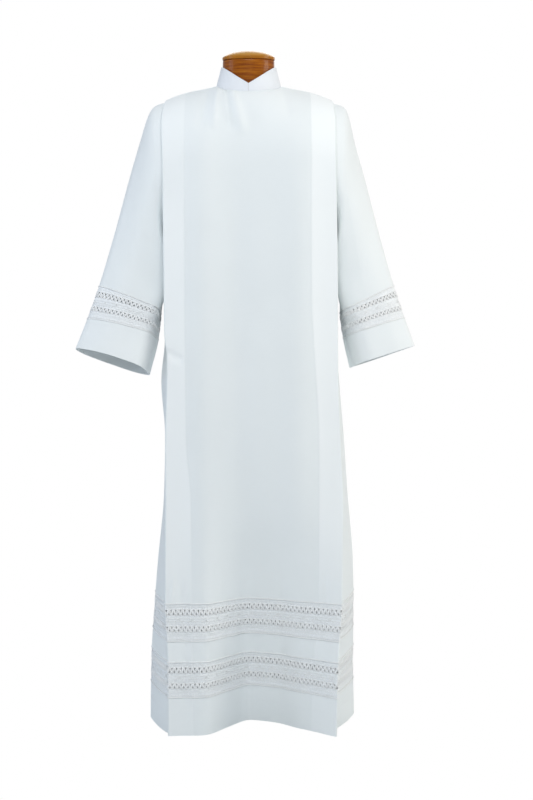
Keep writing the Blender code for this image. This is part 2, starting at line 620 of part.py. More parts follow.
def build_form():
    wood = ((0.42, 0.17, 0.05), 0.25)
    steel = ((0.62, 0.63, 0.65), 0.35, 1.0)
    torso()
    turned("neck_block", [(0.0, NECK_GROOVE_Z - SEAM), (NECK_BLOCK_R - NECK_CHAMFER, NECK_GROOVE_Z - SEAM),
                          (NECK_BLOCK_R, NECK_GROOVE_Z - SEAM - NECK_CHAMFER),
                          (NECK_BLOCK_R, NECK_BLOCK_FOOT), (0.0, NECK_BLOCK_FOOT)], wood)
    dome = []
    for i in range(DOME_STEPS + 1):
        angle = math.pi / 2 - (math.pi / 2 - DOME_START) * i / DOME_STEPS
        height = (NECK_TOP_Z - NECK_RIM_Z) * (math.sin(angle) - math.sin(DOME_START))
        height /= 1 - math.sin(DOME_START)
        dome.append((NECK_CAP_R * math.cos(angle) / math.cos(DOME_START), NECK_RIM_Z + height))
    dome[0] = (0.0, NECK_TOP_Z)
    turned("neck_cap", dome + [(NECK_CAP_R, NECK_GROOVE_Z + CAP_CHAMFER),
                               (NECK_CAP_R - CAP_CHAMFER, NECK_GROOVE_Z), (0.0, NECK_GROOVE_Z)],
           wood)
    rod("pole", POLE_R, BASE_T + SEAM, TORSO_FOOT_Z - SEAM, steel)
    half = RUNNER_X - RUNNER_W / 2 - SEAM
    box("base_crossbar", (-half, -BASE_BAR_W / 2, 0), (half, BASE_BAR_W / 2, BASE_T), steel)
    for side in (-1, 1):
        low = (side * RUNNER_X - RUNNER_W / 2, RUNNER_FRONT, 0)
        high = (side * RUNNER_X + RUNNER_W / 2, RUNNER_BACK, BASE_T)
        box("base_runner_" + side_name(side), low, high, steel)


def main():
    for old in list(bpy.data.objects):
        bpy.data.objects.remove(old, do_unlink=True)
    parts = bpy.data.collections.new(COLLECTION)
    bpy.context.scene.collection.children.link(parts)
    build_robe()
    build_form()


main()
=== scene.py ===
"""Finished look of a long white alb robe on a limbless dress form with a turned neck cap.

Metres, +Z up, the front facing -Y. Left is -X. The cloth is worked out from the same sizes
and tables as the solids, on finer grids, with the folds laid on top.
"""
import math

import bpy
import numpy as np
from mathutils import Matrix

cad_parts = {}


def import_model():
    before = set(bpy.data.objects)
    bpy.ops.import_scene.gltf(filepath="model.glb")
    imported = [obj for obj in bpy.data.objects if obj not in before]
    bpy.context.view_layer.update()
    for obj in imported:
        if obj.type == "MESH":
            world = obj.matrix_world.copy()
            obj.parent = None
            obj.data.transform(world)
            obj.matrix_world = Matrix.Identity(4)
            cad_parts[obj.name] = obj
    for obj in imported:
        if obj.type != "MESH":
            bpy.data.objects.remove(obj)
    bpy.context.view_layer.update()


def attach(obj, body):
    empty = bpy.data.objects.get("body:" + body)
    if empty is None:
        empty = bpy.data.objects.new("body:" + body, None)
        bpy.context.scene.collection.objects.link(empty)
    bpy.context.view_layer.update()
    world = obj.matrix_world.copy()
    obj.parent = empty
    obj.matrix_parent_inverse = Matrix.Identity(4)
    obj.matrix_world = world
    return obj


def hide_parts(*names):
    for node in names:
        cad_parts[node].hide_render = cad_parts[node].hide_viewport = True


# ---- driving sizes
FORM_Y = -0.030            # where the form's axis is; the pole stands at 0
CLOTH = 0.0014             # wall of every cloth piece
SEAM = 0.0003              # clear gap at a seam
SIDE_SEAM = 0.0008         # clear gap between front and back at the sides and shoulders
PLY_TOP, PLY = 0.003, 0.005    # distance between a pleat's layers, in the seam and below it
DROP = 0.150               # height over which the chest turns up into the shoulder seam
UNDERARM_Z, UNDERARM_STEP = 1.165, 0.0018
BAND_1_TOP, BAND_1_FOOT = 0.3149, 0.2264
BAND_2_TOP, BAND_2_FOOT = 0.1798, 0.0955
HEM_Z = 0.007
NECK_HALF, NECK_FRONT, NECK_BACK = 0.0735, 0.075, 0.070
NECK_Z, NECK_DIP = 1.4945, 0.0165
COLLAR_TOP_HALF, COLLAR_TOP_FRONT = 0.0620, 0.0665
COLLAR_SIDE_Z, COLLAR_NOTCH_Z, COLLAR_BACK_RISE = 1.5385, 1.4975, 0.004
NECK_BLOCK_R, NECK_CAP_R = 0.0597, 0.0607
NECK_BLOCK_FOOT, NECK_GROOVE_Z, NECK_RIM_Z, NECK_TOP_Z = 1.4705, 1.5540, 1.5605, 1.5758
POLE_R, BASE_T, BASE_BAR_W = 0.0125, 0.004, 0.030
RUNNER_X, RUNNER_W, RUNNER_FRONT, RUNNER_BACK = 0.165, 0.024, -0.105, 0.120
TORSO_FOOT_Z = 0.780
RIGHT_ANGLE = math.pi / 2


def table(columns, rows):
    """Turn rows under named columns into one array a column, in rising order of the first."""
    ordered = sorted(rows, key=lambda row: row[0])
    return {name: np.array([row[i] for row in ordered]) for i, name in enumerate(columns.split())}


# The front, by height: where the pleats' outer folds and inner folds are, how far forward
# the outer folds stand, how much the chest swells and the skirt falls back between them,
# how much the cut rises at the middle, and how far behind the outer fold the side panel is.
FRONT = table(
    "z left_edge right_edge left_inner right_inner edge_y swell recess rise left_open right_open", [
        (1.475, 0.1860, 0.1900, 0.1445, 0.1415, -0.118, 0.013, 0.000, 0.000, 0.010, 0.010),
        (1.417, 0.1945, 0.1946, 0.1446, 0.1415, -0.118, 0.013, 0.000, 0.000, 0.010, 0.010),
        (1.330, 0.1914, 0.1950, 0.1450, 0.1420, -0.119, 0.014, 0.000, 0.000, 0.010, 0.010),
        (1.007, 0.1886, 0.2000, 0.1450, 0.1430, -0.122, 0.014, 0.000, 0.000, 0.010, 0.010),
        (0.930, 0.1875, 0.2002, 0.1445, 0.1470, -0.123, 0.014, 0.000, 0.000, 0.011, 0.011),
        (0.871, 0.1825, 0.2005, 0.1440, 0.1510, -0.124, 0.013, 0.000, 0.000, 0.011, 0.011),
        (0.689, 0.1866, 0.2069, 0.1424, 0.1606, -0.126, 0.010, 0.000, 0.000, 0.012, 0.012),
        (0.551, 0.1872, 0.2133, 0.1324, 0.1616, -0.129, 0.006, 0.006, 0.000, 0.014, 0.014),
        (0.319, 0.1885, 0.2121, 0.1302, 0.1616, -0.140, 0.000, 0.046, 0.003, 0.019, 0.022),
        (0.190, 0.1835, 0.2043, 0.1290, 0.1500, -0.145, 0.000, 0.073, 0.006, 0.023, 0.034),
        (0.000, 0.1822, 0.1995, 0.1280, 0.1450, -0.149, 0.000, 0.102, 0.0088, 0.027, 0.076),
    ])

# The fall-back of the skirt's front from one outer fold (-1) to the other (+1).
ACROSS = table(
    "across share",
    [(-1.00, 0.00), (-0.74, 0.06), (-0.53, 0.15), (-0.25, 0.60), (0.03, 1.00),
     (0.31, 0.90), (0.60, 0.54), (0.83, 0.24), (1.00, 0.00)])

# The sides, by height: half widths at the side seams, where those seams lie front to back,
# how wide the turn of the side panel is, and its roundness (2 an ellipse, 1 a straight cut).
SIDE = table(
    "z left right seam_left_y seam_right_y left_turn right_turn round", [
        (1.165, 0.1935, 0.2010, 0.000, 0.000, 0.0085, 0.0110, 2.0),
        (1.000, 0.1935, 0.2012, 0.000, 0.000, 0.0220, 0.0220, 2.0),
        (0.910, 0.1950, 0.2020, 0.000, 0.000, 0.0250, 0.0240, 2.0),
        (0.816, 0.2036, 0.2095, 0.000, 0.000, 0.0260, 0.0240, 2.0),
        (0.690, 0.1955, 0.2205, 0.000, 0.005, 0.0200, 0.0240, 1.9),
        (0.551, 0.1989, 0.2305, 0.002, 0.010, 0.0200, 0.0260, 1.7),
        (0.384, 0.2149, 0.2445, 0.008, 0.022, 0.0290, 0.0340, 1.4),
        (0.280, 0.2235, 0.2470, 0.012, 0.030, 0.0350, 0.0360, 1.3),
        (0.150, 0.2320, 0.2470, 0.016, 0.040, 0.0440, 0.0410, 1.2),
        (0.000, 0.2350, 0.2505, 0.020, 0.050, 0.0490, 0.0460, 1.2),
    ])

# The back, by height: how far back it stands, how much it rounds off towards its sides,
# and how wide its turn into the side seam is.
BACK = table(
    "z back_y round_off turn", [
        (1.165, 0.112, 0.027, 0.0000),
        (1.000, 0.112, 0.018, 0.0300),
        (0.816, 0.122, 0.012, 0.0600),
        (0.551, 0.132, 0.006, 0.0900),
        (0.280, 0.148, 0.000, 0.1100),
        (0.000, 0.162, 0.000, 0.1200),
    ])

# Soft folds that fall from the shoulder blades: their place from the left side seam (-1)
# to the right (+1), their depth at the hem, their half width and the height they start at.
# They grow by a power of the share of the way down, and fade at a power of the place.
BACK_FOLDS = [
    (-0.72, 0.032, 0.120, 1.02),
    (-0.37, 0.044, 0.115, 1.16),
    (-0.02, 0.036, 0.125, 1.08),
    (0.34, 0.046, 0.115, 1.18),
    (0.69, 0.034, 0.120, 1.04),
]
FOLD_GROWTH, FOLD_FADE = 0.8, 8
BACK_DIP_START, BACK_DIP_END = 0.40, 0.95      # shares of the back's half width

SHOULDER = table(
    "x z",
    [(0.0735, 1.4945), (0.100, 1.4880), (0.135, 1.4812), (0.168, 1.4715), (0.195, 1.4600)])

# The sleeves, by the share of their length: the outer and inner edge lines, the line of
# greatest thickness between them, where the edges, front and back lie, and how much the
# rings are raised in front (the sleeve hangs forward by this slope). The first ring, at the
# armhole, is worked out from the body.
SLEEVE_COLUMNS = ("run outer_x outer_z mid_x mid_z inner_x inner_z "
                  "edge_y front_y back_y tip")
SLEEVE_LEFT = [
    (0.05, 0.2050, 1.4545, 0.1990, 1.2990, 0.1972, 1.1520, -0.001, -0.106, 0.084, 0.01),
    (0.10, 0.2205, 1.4450, 0.2075, 1.2850, 0.1976, 1.1400, -0.002, -0.103, 0.082, 0.02),
    (0.16, 0.2300, 1.4290, 0.2140, 1.2700, 0.1977, 1.1270, -0.003, -0.100, 0.079, 0.03),
    (0.28, 0.2499, 1.3671, 0.2240, 1.2260, 0.1978, 1.0960, -0.007, -0.094, 0.071, 0.05),
    (0.42, 0.2740, 1.2850, 0.2360, 1.1680, 0.1979, 1.0620, -0.014, -0.088, 0.056, 0.08),
    (0.60, 0.3090, 1.1560, 0.2530, 1.0820, 0.1980, 1.0180, -0.028, -0.086, 0.030, 0.14),
    (0.75, 0.3430, 1.0400, 0.2700, 1.0090, 0.1985, 0.9760, -0.047, -0.094, 0.000, 0.21),
    (0.88, 0.3690, 0.9640, 0.2860, 0.9420, 0.2035, 0.9180, -0.068, -0.110, -0.026, 0.28),
    (1.00, 0.3950, 0.8950, 0.3090, 0.8680, 0.2229, 0.8370, -0.090, -0.131, -0.049, 0.34),
]
SLEEVE_RIGHT = [
    (0.05, 0.2080, 1.4525, 0.2030, 1.2980, 0.2048, 1.1520, 0.000, -0.106, 0.085, 0.01),
    (0.10, 0.2215, 1.4450, 0.2110, 1.2850, 0.2052, 1.1400, 0.000, -0.103, 0.084, 0.01),
    (0.16, 0.2295, 1.4280, 0.2170, 1.2700, 0.2054, 1.1270, -0.001, -0.099, 0.082, 0.02),
    (0.28, 0.2440, 1.3671, 0.2250, 1.2260, 0.2056, 1.0960, -0.003, -0.091, 0.076, 0.03),
    (0.42, 0.2670, 1.2850, 0.2365, 1.1680, 0.2058, 1.0620, -0.007, -0.082, 0.064, 0.05),
    (0.60, 0.3000, 1.1600, 0.2525, 1.0820, 0.2060, 1.0180, -0.015, -0.074, 0.044, 0.07),
    (0.75, 0.3340, 1.0410, 0.2700, 1.0090, 0.2065, 0.9760, -0.026, -0.073, 0.022, 0.09),
    (0.88, 0.3590, 0.9670, 0.2870, 0.9440, 0.2140, 0.9180, -0.036, -0.078, 0.006, 0.11),
    (1.00, 0.3824, 0.9000, 0.3060, 0.8740, 0.2292, 0.8480, -0.048, -0.087, -0.009, 0.12),
]
LACE_RUN_TOP, LACE_RUN_FOOT = 0.755, 0.885      # shares of the sleeve's length

# The form, by height: half width and half depth of its oval sections.
TORSO = table(
    "z half_x half_y", [
        (1.4695, 0.057, 0.057), (1.462, 0.080, 0.060), (1.450, 0.118, 0.066),
        (1.430, 0.145, 0.076), (1.395, 0.160, 0.089), (1.340, 0.166, 0.100),
        (1.270, 0.163, 0.106), (1.160, 0.150, 0.104), (1.050, 0.136, 0.095),
        (0.960, 0.144, 0.099), (0.880, 0.156, 0.105), (0.815, 0.157, 0.104),
        (0.788, 0.150, 0.098), (0.780, 0.138, 0.088),
    ])

# Soft creases pressed or hung into the front: where each starts and ends (across, height),
# how far forward it stands (negative: a trough), its half width and the length of its ends.
FRONT_CREASES = [
    ((-0.086, 0.560), (-0.080, -0.120), 0.0040, 0.040, 0.25),
    ((-0.008, 0.560), (-0.004, -0.120), -0.0030, 0.046, 0.25),
    ((0.186, 0.480), (0.190, -0.120), 0.0060, 0.046, 0.25),
    ((-0.104, 1.46), (-0.108, -0.10), 0.0064, 0.032, 0.16),
    ((-0.028, 1.46), (-0.018, -0.10), -0.0064, 0.038, 0.20),
    ((0.118, 1.40), (0.108, -0.10), 0.0084, 0.044, 0.30),
    ((-0.150, 0.872), (-0.196, 0.892), -0.0046, 0.0070, 0.016),
    ((-0.188, 0.884), (-0.188, 0.828), -0.0034, 0.0050, 0.018),
    ((-0.186, 0.780), (-0.150, 0.762), -0.0010, 0.0030, 0.010),
    ((-0.170, 0.372), (-0.178, 0.318), 0.0024, 0.0060, 0.018),
    ((-0.152, 0.362), (-0.158, 0.318), -0.0018, 0.0060, 0.018),
    ((0.176, 0.380), (0.180, 0.318), -0.0018, 0.0060, 0.018),
]

# Creases that run down from the foot of the collar, laid in the same way but along the
# cloth's own normals.
NECK_CREASES = [
    ((-0.068, 1.490), (-0.077, 1.402), 0.0058, 0.0100, 0.030),
    ((-0.053, 1.490), (-0.042, 1.398), -0.0062, 0.0085, 0.030),
    ((-0.039, 1.488), (-0.012, 1.390), 0.0046, 0.0095, 0.034),
    ((-0.094, 1.484), (-0.108, 1.398), -0.0036, 0.0110, 0.035),
    ((-0.008, 1.455), (0.012, 1.390), -0.0014, 0.0140, 0.040),
    ((0.078, 1.480), (0.092, 1.425), -0.0014, 0.0110, 0.035),
]
NECK_FREE = 5              # rows below the collar's foot over which those creases fade in
NECK_SOFTENING = 70        # passes that even out the chest below the neckline's two corners
SOFT_IN, SOFT_OUT, SOFT_END = 0.35, 0.60, 1.60     # where they work, in shares of the arc's rows
SOFT_SIDE, SOFT_HALF = 0.25, 0.62                  # and of the flat columns beside the neck

# Small gathers in the cloth where it is sewn to the lace: height of the seam, and the waves'
# lengths and phases.
GATHER_SEAMS = (BAND_1_TOP, BAND_1_FOOT, BAND_2_TOP, BAND_2_FOOT)
GATHER_WAVES = [(0.047, 0.4), (0.0315, 2.1), (0.073, 4.0)]
GATHER_HEIGHT, GATHER_REACH = 0.0005, 0.016
STRIP_EASE, STRIP_STEP = 0.0030, 0.0006    # the step in the front over each pleat's inner fold

# The paler strips over the pleats are painted light. Where the pleat's layers lie behind the
# front's top layer, a paler colour stands in for the shade inside the robe that a single layer lets
# show through. Their share below this height, and over what they gain the rest; then how much the
# left one loses above a height, and over what, which is painted shade on the left strip by the
# chest.
STRIP_LOW, STRIP_LOW_Z, STRIP_GAIN_OVER = 0.30, 0.28, 0.25
LEFT_LOSS, LEFT_LOSS_Z, LEFT_LOSS_OVER = 0.45, 1.18, 0.10

# Creases of the sleeves: angle round the sleeve (0 outside and up, a quarter turn in front),
# shares of the length where each starts and ends, height (negative: a trough), half width,
# and how far its middle drifts.
SLEEVE_CREASES = {
    -1: [(1.95, 0.15, 1.40, 0.0070, 0.62, 0.10),
         (2.20, 0.62, 1.40, 0.0075, 0.28, -0.02),
         (2.95, 0.58, 1.40, -0.0080, 0.40, -0.02),
         (0.85, 0.25, 1.20, -0.0030, 0.34, -0.15),
         (3.35, 0.12, 0.80, -0.0030, 0.30, 0.20),
         (4.40, 0.10, 1.10, 0.0050, 0.36, -0.20),
         (5.10, 0.18, 1.10, -0.0040, 0.30, 0.15)],
    1: [(1.90, 0.15, 1.40, 0.0080, 0.62, 0.10),
        (1.98, 0.52, 1.40, 0.0085, 0.34, 0.02),
        (2.90, 0.28, 1.50, -0.0095, 0.46, -0.02),
        (0.80, 0.25, 1.20, -0.0026, 0.32, -0.12),
        (3.40, 0.10, 0.82, -0.0030, 0.30, 0.18),
        (4.35, 0.12, 1.10, 0.0048, 0.34, -0.18),
        (5.10, 0.16, 1.10, -0.0040, 0.32, 0.12)],
}
CREASE_ENDS = (0.0, 0.3, 1.05, 0.3)        # their easing in and out, in shares of their length

# The lace, from the top of a hem band: strips of net, openwork rows, and cords (place, width,
# height), with places in shares of the band's height.
LACE_STRIPS = [(0.000, 0.148), (0.318, 0.588), (0.748, 1.000)]
LACE_ROWS = [(0.158, 0.308), (0.598, 0.738)]
LACE_CORDS = [(0.010, 0.0036, 0.0026), (0.400, 0.0012, 0.0012), (0.470, 0.0010, 0.0010),
              (0.535, 0.0010, 0.0010), (0.085, 0.0009, 0.0009), (0.800, 0.0009, 0.0009),
              (0.850, 0.0009, 0.0009), (0.940, 0.0012, 0.0011), (0.990, 0.0036, 0.0024)]
# its threads: width, height, and how high their middle lies
LACE_RAIL, LACE_ZIGZAG = (0.0024, 0.0018, 0.0003), (0.0060, 0.0024, 0.0006)
LACE_KNOT, LACE_SPRIG = (0.0030, 0.0022, 0.0010), (0.0026, 0.0015, 0.0008)
CORD_LIFT, CORD_RISE = 0.0005, 0.3         # a cord's middle: a height, and a share of its own
ZIGZAG_POINTS, ZIGZAG_REST = 6, 0.08       # points a wave, and how flat it runs at the rails
KNOT_HALF, NET_THICKNESS, NET_ROWS = 0.0022, 0.0008, 5
PETAL_REACH, LEAF_REACH, LEAF_TILT = (0.0012, 0.0046), (0.0055, 0.0115), 0.35
HEM_PITCH, SLEEVE_PITCH = 0.0105, 0.0100
SLEEVE_BAND = 0.069        # height of the sleeve's lace

# The corner of a sleeve's section in front, by the body: how much fuller than an ellipse it
# is and along what share, and how far it sinks in behind the pleat's edge, where and along what.
BOXY, BOXY_RUN = 0.42, (0.08, 0.25, 0.88, 0.34)
SLEEVE_TUCK, TUCK_ANGLE, TUCK_HALF = {-1: 0.0130, 1: 0.0085}, 2.38, 0.52
TUCK_RUNS = [(0.01, 0.08, 0.86, 0.22), (0.15, 0.20, 0.86, 0.22)]
SLEEVE_START, SLEEVE_GAP = 0.0025, SEAM / 2 / 0.6      # shares of the sleeve's length

# The bound shoulder seams: how far out they run, where the back's edge drops below them, and
# the tape's rows (place from the seam, height, share of that drop).
TAPE_END = {-1: 0.1875, 1: 0.1925}
TAPE_FALL_FROM, TAPE_FALL_OVER, TAPE_THICKNESS = 0.110, 0.070, 0.0008
TAPE_ROWS = [(-0.0042, 0.0011, 0.0), (-0.0020, 0.0015, 0.0), (0.0006, 0.0014, 0.0),
             (0.0020, 0.0002, 0.3), (0.0026, -0.0016, 1.0), (0.0030, -0.0040, 1.0)]
FACING_HALF, FACING_DEPTH = 0.064, 0.0095      # the facing's edge that shows below the collar
# low ridges along seams and edges: width, height and number of points
SIDE_RIDGE, ARMHOLE_RIDGE = (0.0022, 0.0014, 300), (0.0024, 0.0014, 400)
FACING_RIDGE, HEM_RIDGE = (0.0036, 0.0024, 120), (0.0016, 0.0020, 400)
STITCH, STITCH_STEP, STITCH_WIDTH = 0.0024, 0.0034, 0.0005
STITCH_ARC, STITCH_INSET = (-0.0002, 0.00035, -0.0002), 0.002
# where rows of stitches and the layers turned in lie, in shares of a piece's height
HEM_STITCHES, CUFF_STITCHES, COLLAR_STITCHES = 0.42, 0.14, (0.10, 0.88)
HEM_INSIDE, CUFF_INSIDE = (0.40, 0.60, 0.80, 0.97), (0.10, 0.40, 0.70, 0.97)
INSIDE_DEPTH, INSIDE_THICKNESS, COLLAR_THICKNESS = 0.0016, 0.0009, 0.0020

# ---- how finely the grids are laid
NECK_COLUMNS, FLAT_COLUMNS, FOLD_COLUMNS, UNDERLAY_COLUMNS, PANEL_COLUMNS = 16, 60, 8, 6, 26
BACK_NECK_COLUMNS, BACK_FLAT_COLUMNS = 16, 70
ARC_ROWS, ARMHOLE_ROWS, SKIRT_ROWS, BAND_ROWS = 30, 26, 104, 12
ROUND_COLUMNS, SLEEVE_ROWS, CUFF_ROWS = 112, 96, 12
COLLAR_COLUMNS, COLLAR_ROWS, TAPE_COLUMNS = 144, 14, 48
TORSO_R = 0.15             # a mean radius, for the jersey's flat coordinates
TORSO_RINGS, TORSO_SIDES, NECK_SIDES, POLE_SIDES = 66, 96, 128, 64


def curve(rows, name, at):
    """Read one column at any height, along a smooth curve that never overshoots its rows:
    cubic pieces whose slope at a row is the harmonic mean of the slopes on its two sides."""
    keys, values = next(iter(rows.values())), rows[name]
    gaps = np.diff(keys)
    slopes = np.diff(values) / gaps
    before, after = slopes[:-1], slopes[1:]
    agree = before * after > 0
    mean = 2 * before * after / np.where(agree, before + after, 1.0)
    tangents = np.concatenate([slopes[:1], np.where(agree, mean, 0.0), slopes[-1:]])
    at = np.clip(at, keys[0], keys[-1])
    i = np.clip(np.searchsorted(keys, at, side="right") - 1, 0, len(keys) - 2)
    t = (at - keys[i]) / gaps[i]
    rise = values[i + 1] - values[i]
    start, end = tangents[i] * gaps[i], tangents[i + 1] * gaps[i]
    return values[i] + t * (start + t * (3 * rise - 2 * start - end
                                         + t * (start + end - 2 * rise)))


def smooth(at):
    """0 below 0, 1 above 1, and 3t^2 - 2t^3 between."""
    t = np.clip(at, 0, 1)
    return t * t * (3 - 2 * t)


def between(at, start, ease_in, end, ease_out):
    """1 between start and end, eased in after start and out before end."""
    return smooth((at - start) / ease_in) * smooth((end - at) / ease_out)


def bell(away, half):
    return np.exp(-(away / half) ** 2)


def steps(count):
    """Equal shares after 0, up to and with 1."""
    return np.linspace(0, 1, count + 1)[1:]


def side_name(side):
    return "left" if side < 0 else "right"


# ---- the front: a panel, a knife pleat and a side panel in one length of cloth

def crease(x, z, start, end, rise, half, ease):
    """A soft ridge or trough on a straight line, eased over the length `ease` at its ends."""
    along_x, along_z = end[0] - start[0], end[1] - start[1]
    length = math.hypot(along_x, along_z)
    along_x, along_z = along_x / length, along_z / length
    along = (x - start[0]) * along_x + (z - start[1]) * along_z
    aside = (x - start[0]) * along_z - (z - start[1]) * along_x
    return rise * bell(aside, half) * between(along, -ease / 2, ease, length + ease / 2, ease)


def gathers(x, z):
    """Small waves along each lace seam, which die out away from it."""
    near = sum(bell(z - seam, GATHER_REACH) for seam in GATHER_SEAMS)
    waves = sum(np.sin(2 * math.pi * x / length + phase) for length, phase in GATHER_WAVES)
    return GATHER_HEIGHT * near * waves


def strip_share(x, z):
    """1 where the front's top layer has the pleat folded under it, and 0 inside the pleat."""
    left, right = curve(FRONT, "left_inner", z), curve(FRONT, "right_inner", z)
    return smooth((np.where(x < 0, -x - left, x - right) + STRIP_EASE / 2) / STRIP_EASE)


def front_relief(x, z):
    """How far forward the front's folds stand at place x across and height z."""
    creases = sum(crease(x, z, *one) for one in FRONT_CREASES)
    return creases + gathers(x, z) + STRIP_STEP * strip_share(x, z)


def front_across(side, x, z):
    """A place on the front's top layer as a share of the way to its outer fold."""
    return side * np.clip(x / curve(FRONT, side_name(side) + "_edge", z), 0, 1)


def front_layer_y(side, x, z):
    """How far forward the front's top layer is at half width x and height z."""
    across = front_across(side, x, z)
    swell = curve(FRONT, "swell", z) * (1 - across ** 2)
    fall = curve(FRONT, "recess", z) * curve(ACROSS, "share", across)
    return curve(FRONT, "edge_y", z) - swell + fall - front_relief(side * x, z)


def front_rise(side, x, z):
    """How much the cut's cross lines rise at half width x, above their height at the sides."""
    return curve(FRONT, "rise", z) * curve(ACROSS, "share", front_across(side, x, z))


def past_corner(share, corner, armhole_turn):
    """A panel's columns before and beyond its corner: their share of the flat part, whether
    they are beyond it, and their angle round the turn."""
    beyond = np.clip((share - corner) / np.maximum(1 - corner, 1e-6), 0, 1)
    return np.minimum(share / corner, 1.0), beyond > 0, armhole_turn * beyond


def front_place(side, layer, share, z, armhole_turn):
    """Half width and depth of columns of the front at heights z. The flat layers run straight
    across, the folds are half circles, and the side panel ends in a quarter superellipse."""
    name = side_name(side)
    edge, inner, opening = (curve(FRONT, name + what, z) for what in ("_edge", "_inner", "_open"))
    middle = np.maximum(PLY, (opening - PLY) / 2)
    fold_x = PLY / 2 * np.sin(math.pi * share)
    fold_y = PLY / 2 * (1 - np.cos(math.pi * share))
    if layer == "front":
        return edge * share, front_layer_y(side, edge * share, z)
    if layer == "edge_fold":
        return edge + fold_x, front_layer_y(side, edge, z) + fold_y
    if layer == "underlay":
        x = edge + (inner - edge) * share
        return x, front_layer_y(side, x, z) + PLY + (middle - PLY) * share
    if layer == "inner_fold":
        return inner - fold_x, front_layer_y(side, inner, z) + middle + fold_y
    seam_x = curve(SIDE, name, z)
    seam_y = curve(SIDE, f"seam_{name}_y", z) - SIDE_SEAM / 2
    turn_x = seam_x - curve(SIDE, name + "_turn", z)
    corner = 1 / (1 + 2 * armhole_turn / RIGHT_ANGLE)
    straight, turned_in, angle = past_corner(share, corner, armhole_turn)
    power = 2 / curve(SIDE, "round", z)
    x = inner + (turn_x - inner) * straight
    y = front_layer_y(side, x, z) + middle + PLY + (opening - middle - PLY) * straight
    return (np.where(turned_in, turn_x + (seam_x - turn_x) * np.sin(angle) ** power, x),
            np.where(turned_in, seam_y + (y - seam_y) * np.cos(angle) ** power, y))


def half_columns(side, front):
    """The column shares of half a panel, layer by layer, from its centre to the side seam."""
    name = side_name(side)
    if front:
        edge = float(curve(FRONT, name + "_edge", NECK_Z))
        neck_columns, flat_columns = NECK_COLUMNS, FLAT_COLUMNS
    else:
        edge = float(curve(SIDE, name, NECK_Z) - curve(SIDE, name + "_turn", NECK_Z))
        neck_columns, flat_columns = BACK_NECK_COLUMNS, BACK_FLAT_COLUMNS
    neck = NECK_HALF / edge
    across_neck = neck * np.sin(RIGHT_ANGLE * np.linspace(0, 1, neck_columns + 1))
    flat = np.concatenate([across_neck, neck + (1 - neck) * steps(flat_columns)])
    if not front:
        return [("back", flat)]
    return [("front", flat), ("edge_fold", steps(FOLD_COLUMNS)),
            ("underlay", steps(UNDERLAY_COLUMNS)), ("inner_fold", steps(FOLD_COLUMNS)),
            ("panel", steps(PANEL_COLUMNS))]


def layer_depth(layer, share):
    """How many layers of the pleat lie above a column where it meets the shoulder seam."""
    above = {"front": 0, "edge_fold": 0, "underlay": 1, "inner_fold": 1, "panel": 2}[layer]
    return above + (1 - np.cos(math.pi * share)) / 2 * layer.endswith("_fold")


def neckline(x, front):
    """Depth, from the neck axis, and height of the neckline at half width x: half an ellipse."""
    roundness = np.sqrt(np.clip(1 - (x / NECK_HALF) ** 2, 0, 1))
    if front:
        return -NECK_FRONT * roundness, NECK_Z - NECK_DIP * roundness
    return NECK_BACK * roundness, NECK_Z + COLLAR_BACK_RISE * roundness


def top_edge(x_top, plies, front):
    """Where columns start, in the neckline or the shoulder seam, and their arcs' centres."""
    shoulder_z = curve(SHOULDER, "z", x_top)
    neck_y, neck_z = neckline(x_top, front)
    at_neck = x_top < NECK_HALF - 1e-6
    return (np.where(at_neck, neck_y, (-1 if front else 1) * SIDE_SEAM / 2),
            np.where(at_neck, neck_z, shoulder_z - plies * PLY_TOP), shoulder_z - DROP)


# ---- the back

def back_dip(share):
    """How many plies lower the back's shoulder seam lies, so that it meets the sleeve's top."""
    return 2 * smooth((share - BACK_DIP_START) / (BACK_DIP_END - BACK_DIP_START))


def back_place(side, layer, share, z, armhole_turn):
    """Half width and depth of columns of the back: a flat middle and a quarter ellipse that
    turns to the side seam, both pushed out by the folds along their own normals."""
    name = side_name(side)
    seam_x = curve(SIDE, name, z)
    seam_y = curve(SIDE, f"seam_{name}_y", z) + SIDE_SEAM / 2
    turn_x = seam_x - curve(SIDE, name + "_turn", UNDERARM_Z) - curve(BACK, "turn", z)
    y = curve(BACK, "back_y", z) - curve(BACK, "round_off", z)
    corner = turn_x / (turn_x + (y - seam_y) * armhole_turn / RIGHT_ANGLE)
    straight, turned_in, angle = past_corner(share, corner, armhole_turn)
    x = turn_x * straight
    y = y + curve(BACK, "round_off", z) * (1 - straight ** 2)
    x = np.where(turned_in, turn_x + (seam_x - turn_x) * np.sin(angle), x)
    y = np.where(turned_in, seam_y + (y - seam_y) * np.cos(angle), y)
    swing = back_fold(side * share, z) + gathers(side * x, z)
    return x + swing * np.sin(angle), y + swing * np.cos(angle)


def back_fold(place, z):
    """How far the soft folds stand out of the back: bell curves that grow towards the hem."""
    folds = 0.0
    for middle, depth, half, start in BACK_FOLDS:
        grown = np.clip((start - z) / start, 0, 1) ** FOLD_GROWTH
        folds = folds + depth * grown * bell(place - middle, half)
    return folds * (1 - place ** FOLD_FADE)


def top_layer():
    """For each column of the whole front: 1 in its top layer and 0 in the pleats and panels."""
    halves = [np.concatenate([np.full(len(share), float(layer == "front"))
                              for layer, share in half_columns(side, True)]) for side in (-1, 1)]
    return np.concatenate([halves[0][:0:-1], halves[1]])


def whole_width(half_grid, front):
    """Both halves of a panel, side by side, moved to the neck axis."""
    left, right = (np.concatenate([half_grid(side, *block) for block in half_columns(side, front)],
                                  axis=1) for side in (-1, 1))
    grid = np.concatenate([left[:, :0:-1], right], axis=1)
    grid[..., 1] += FORM_Y
    return grid


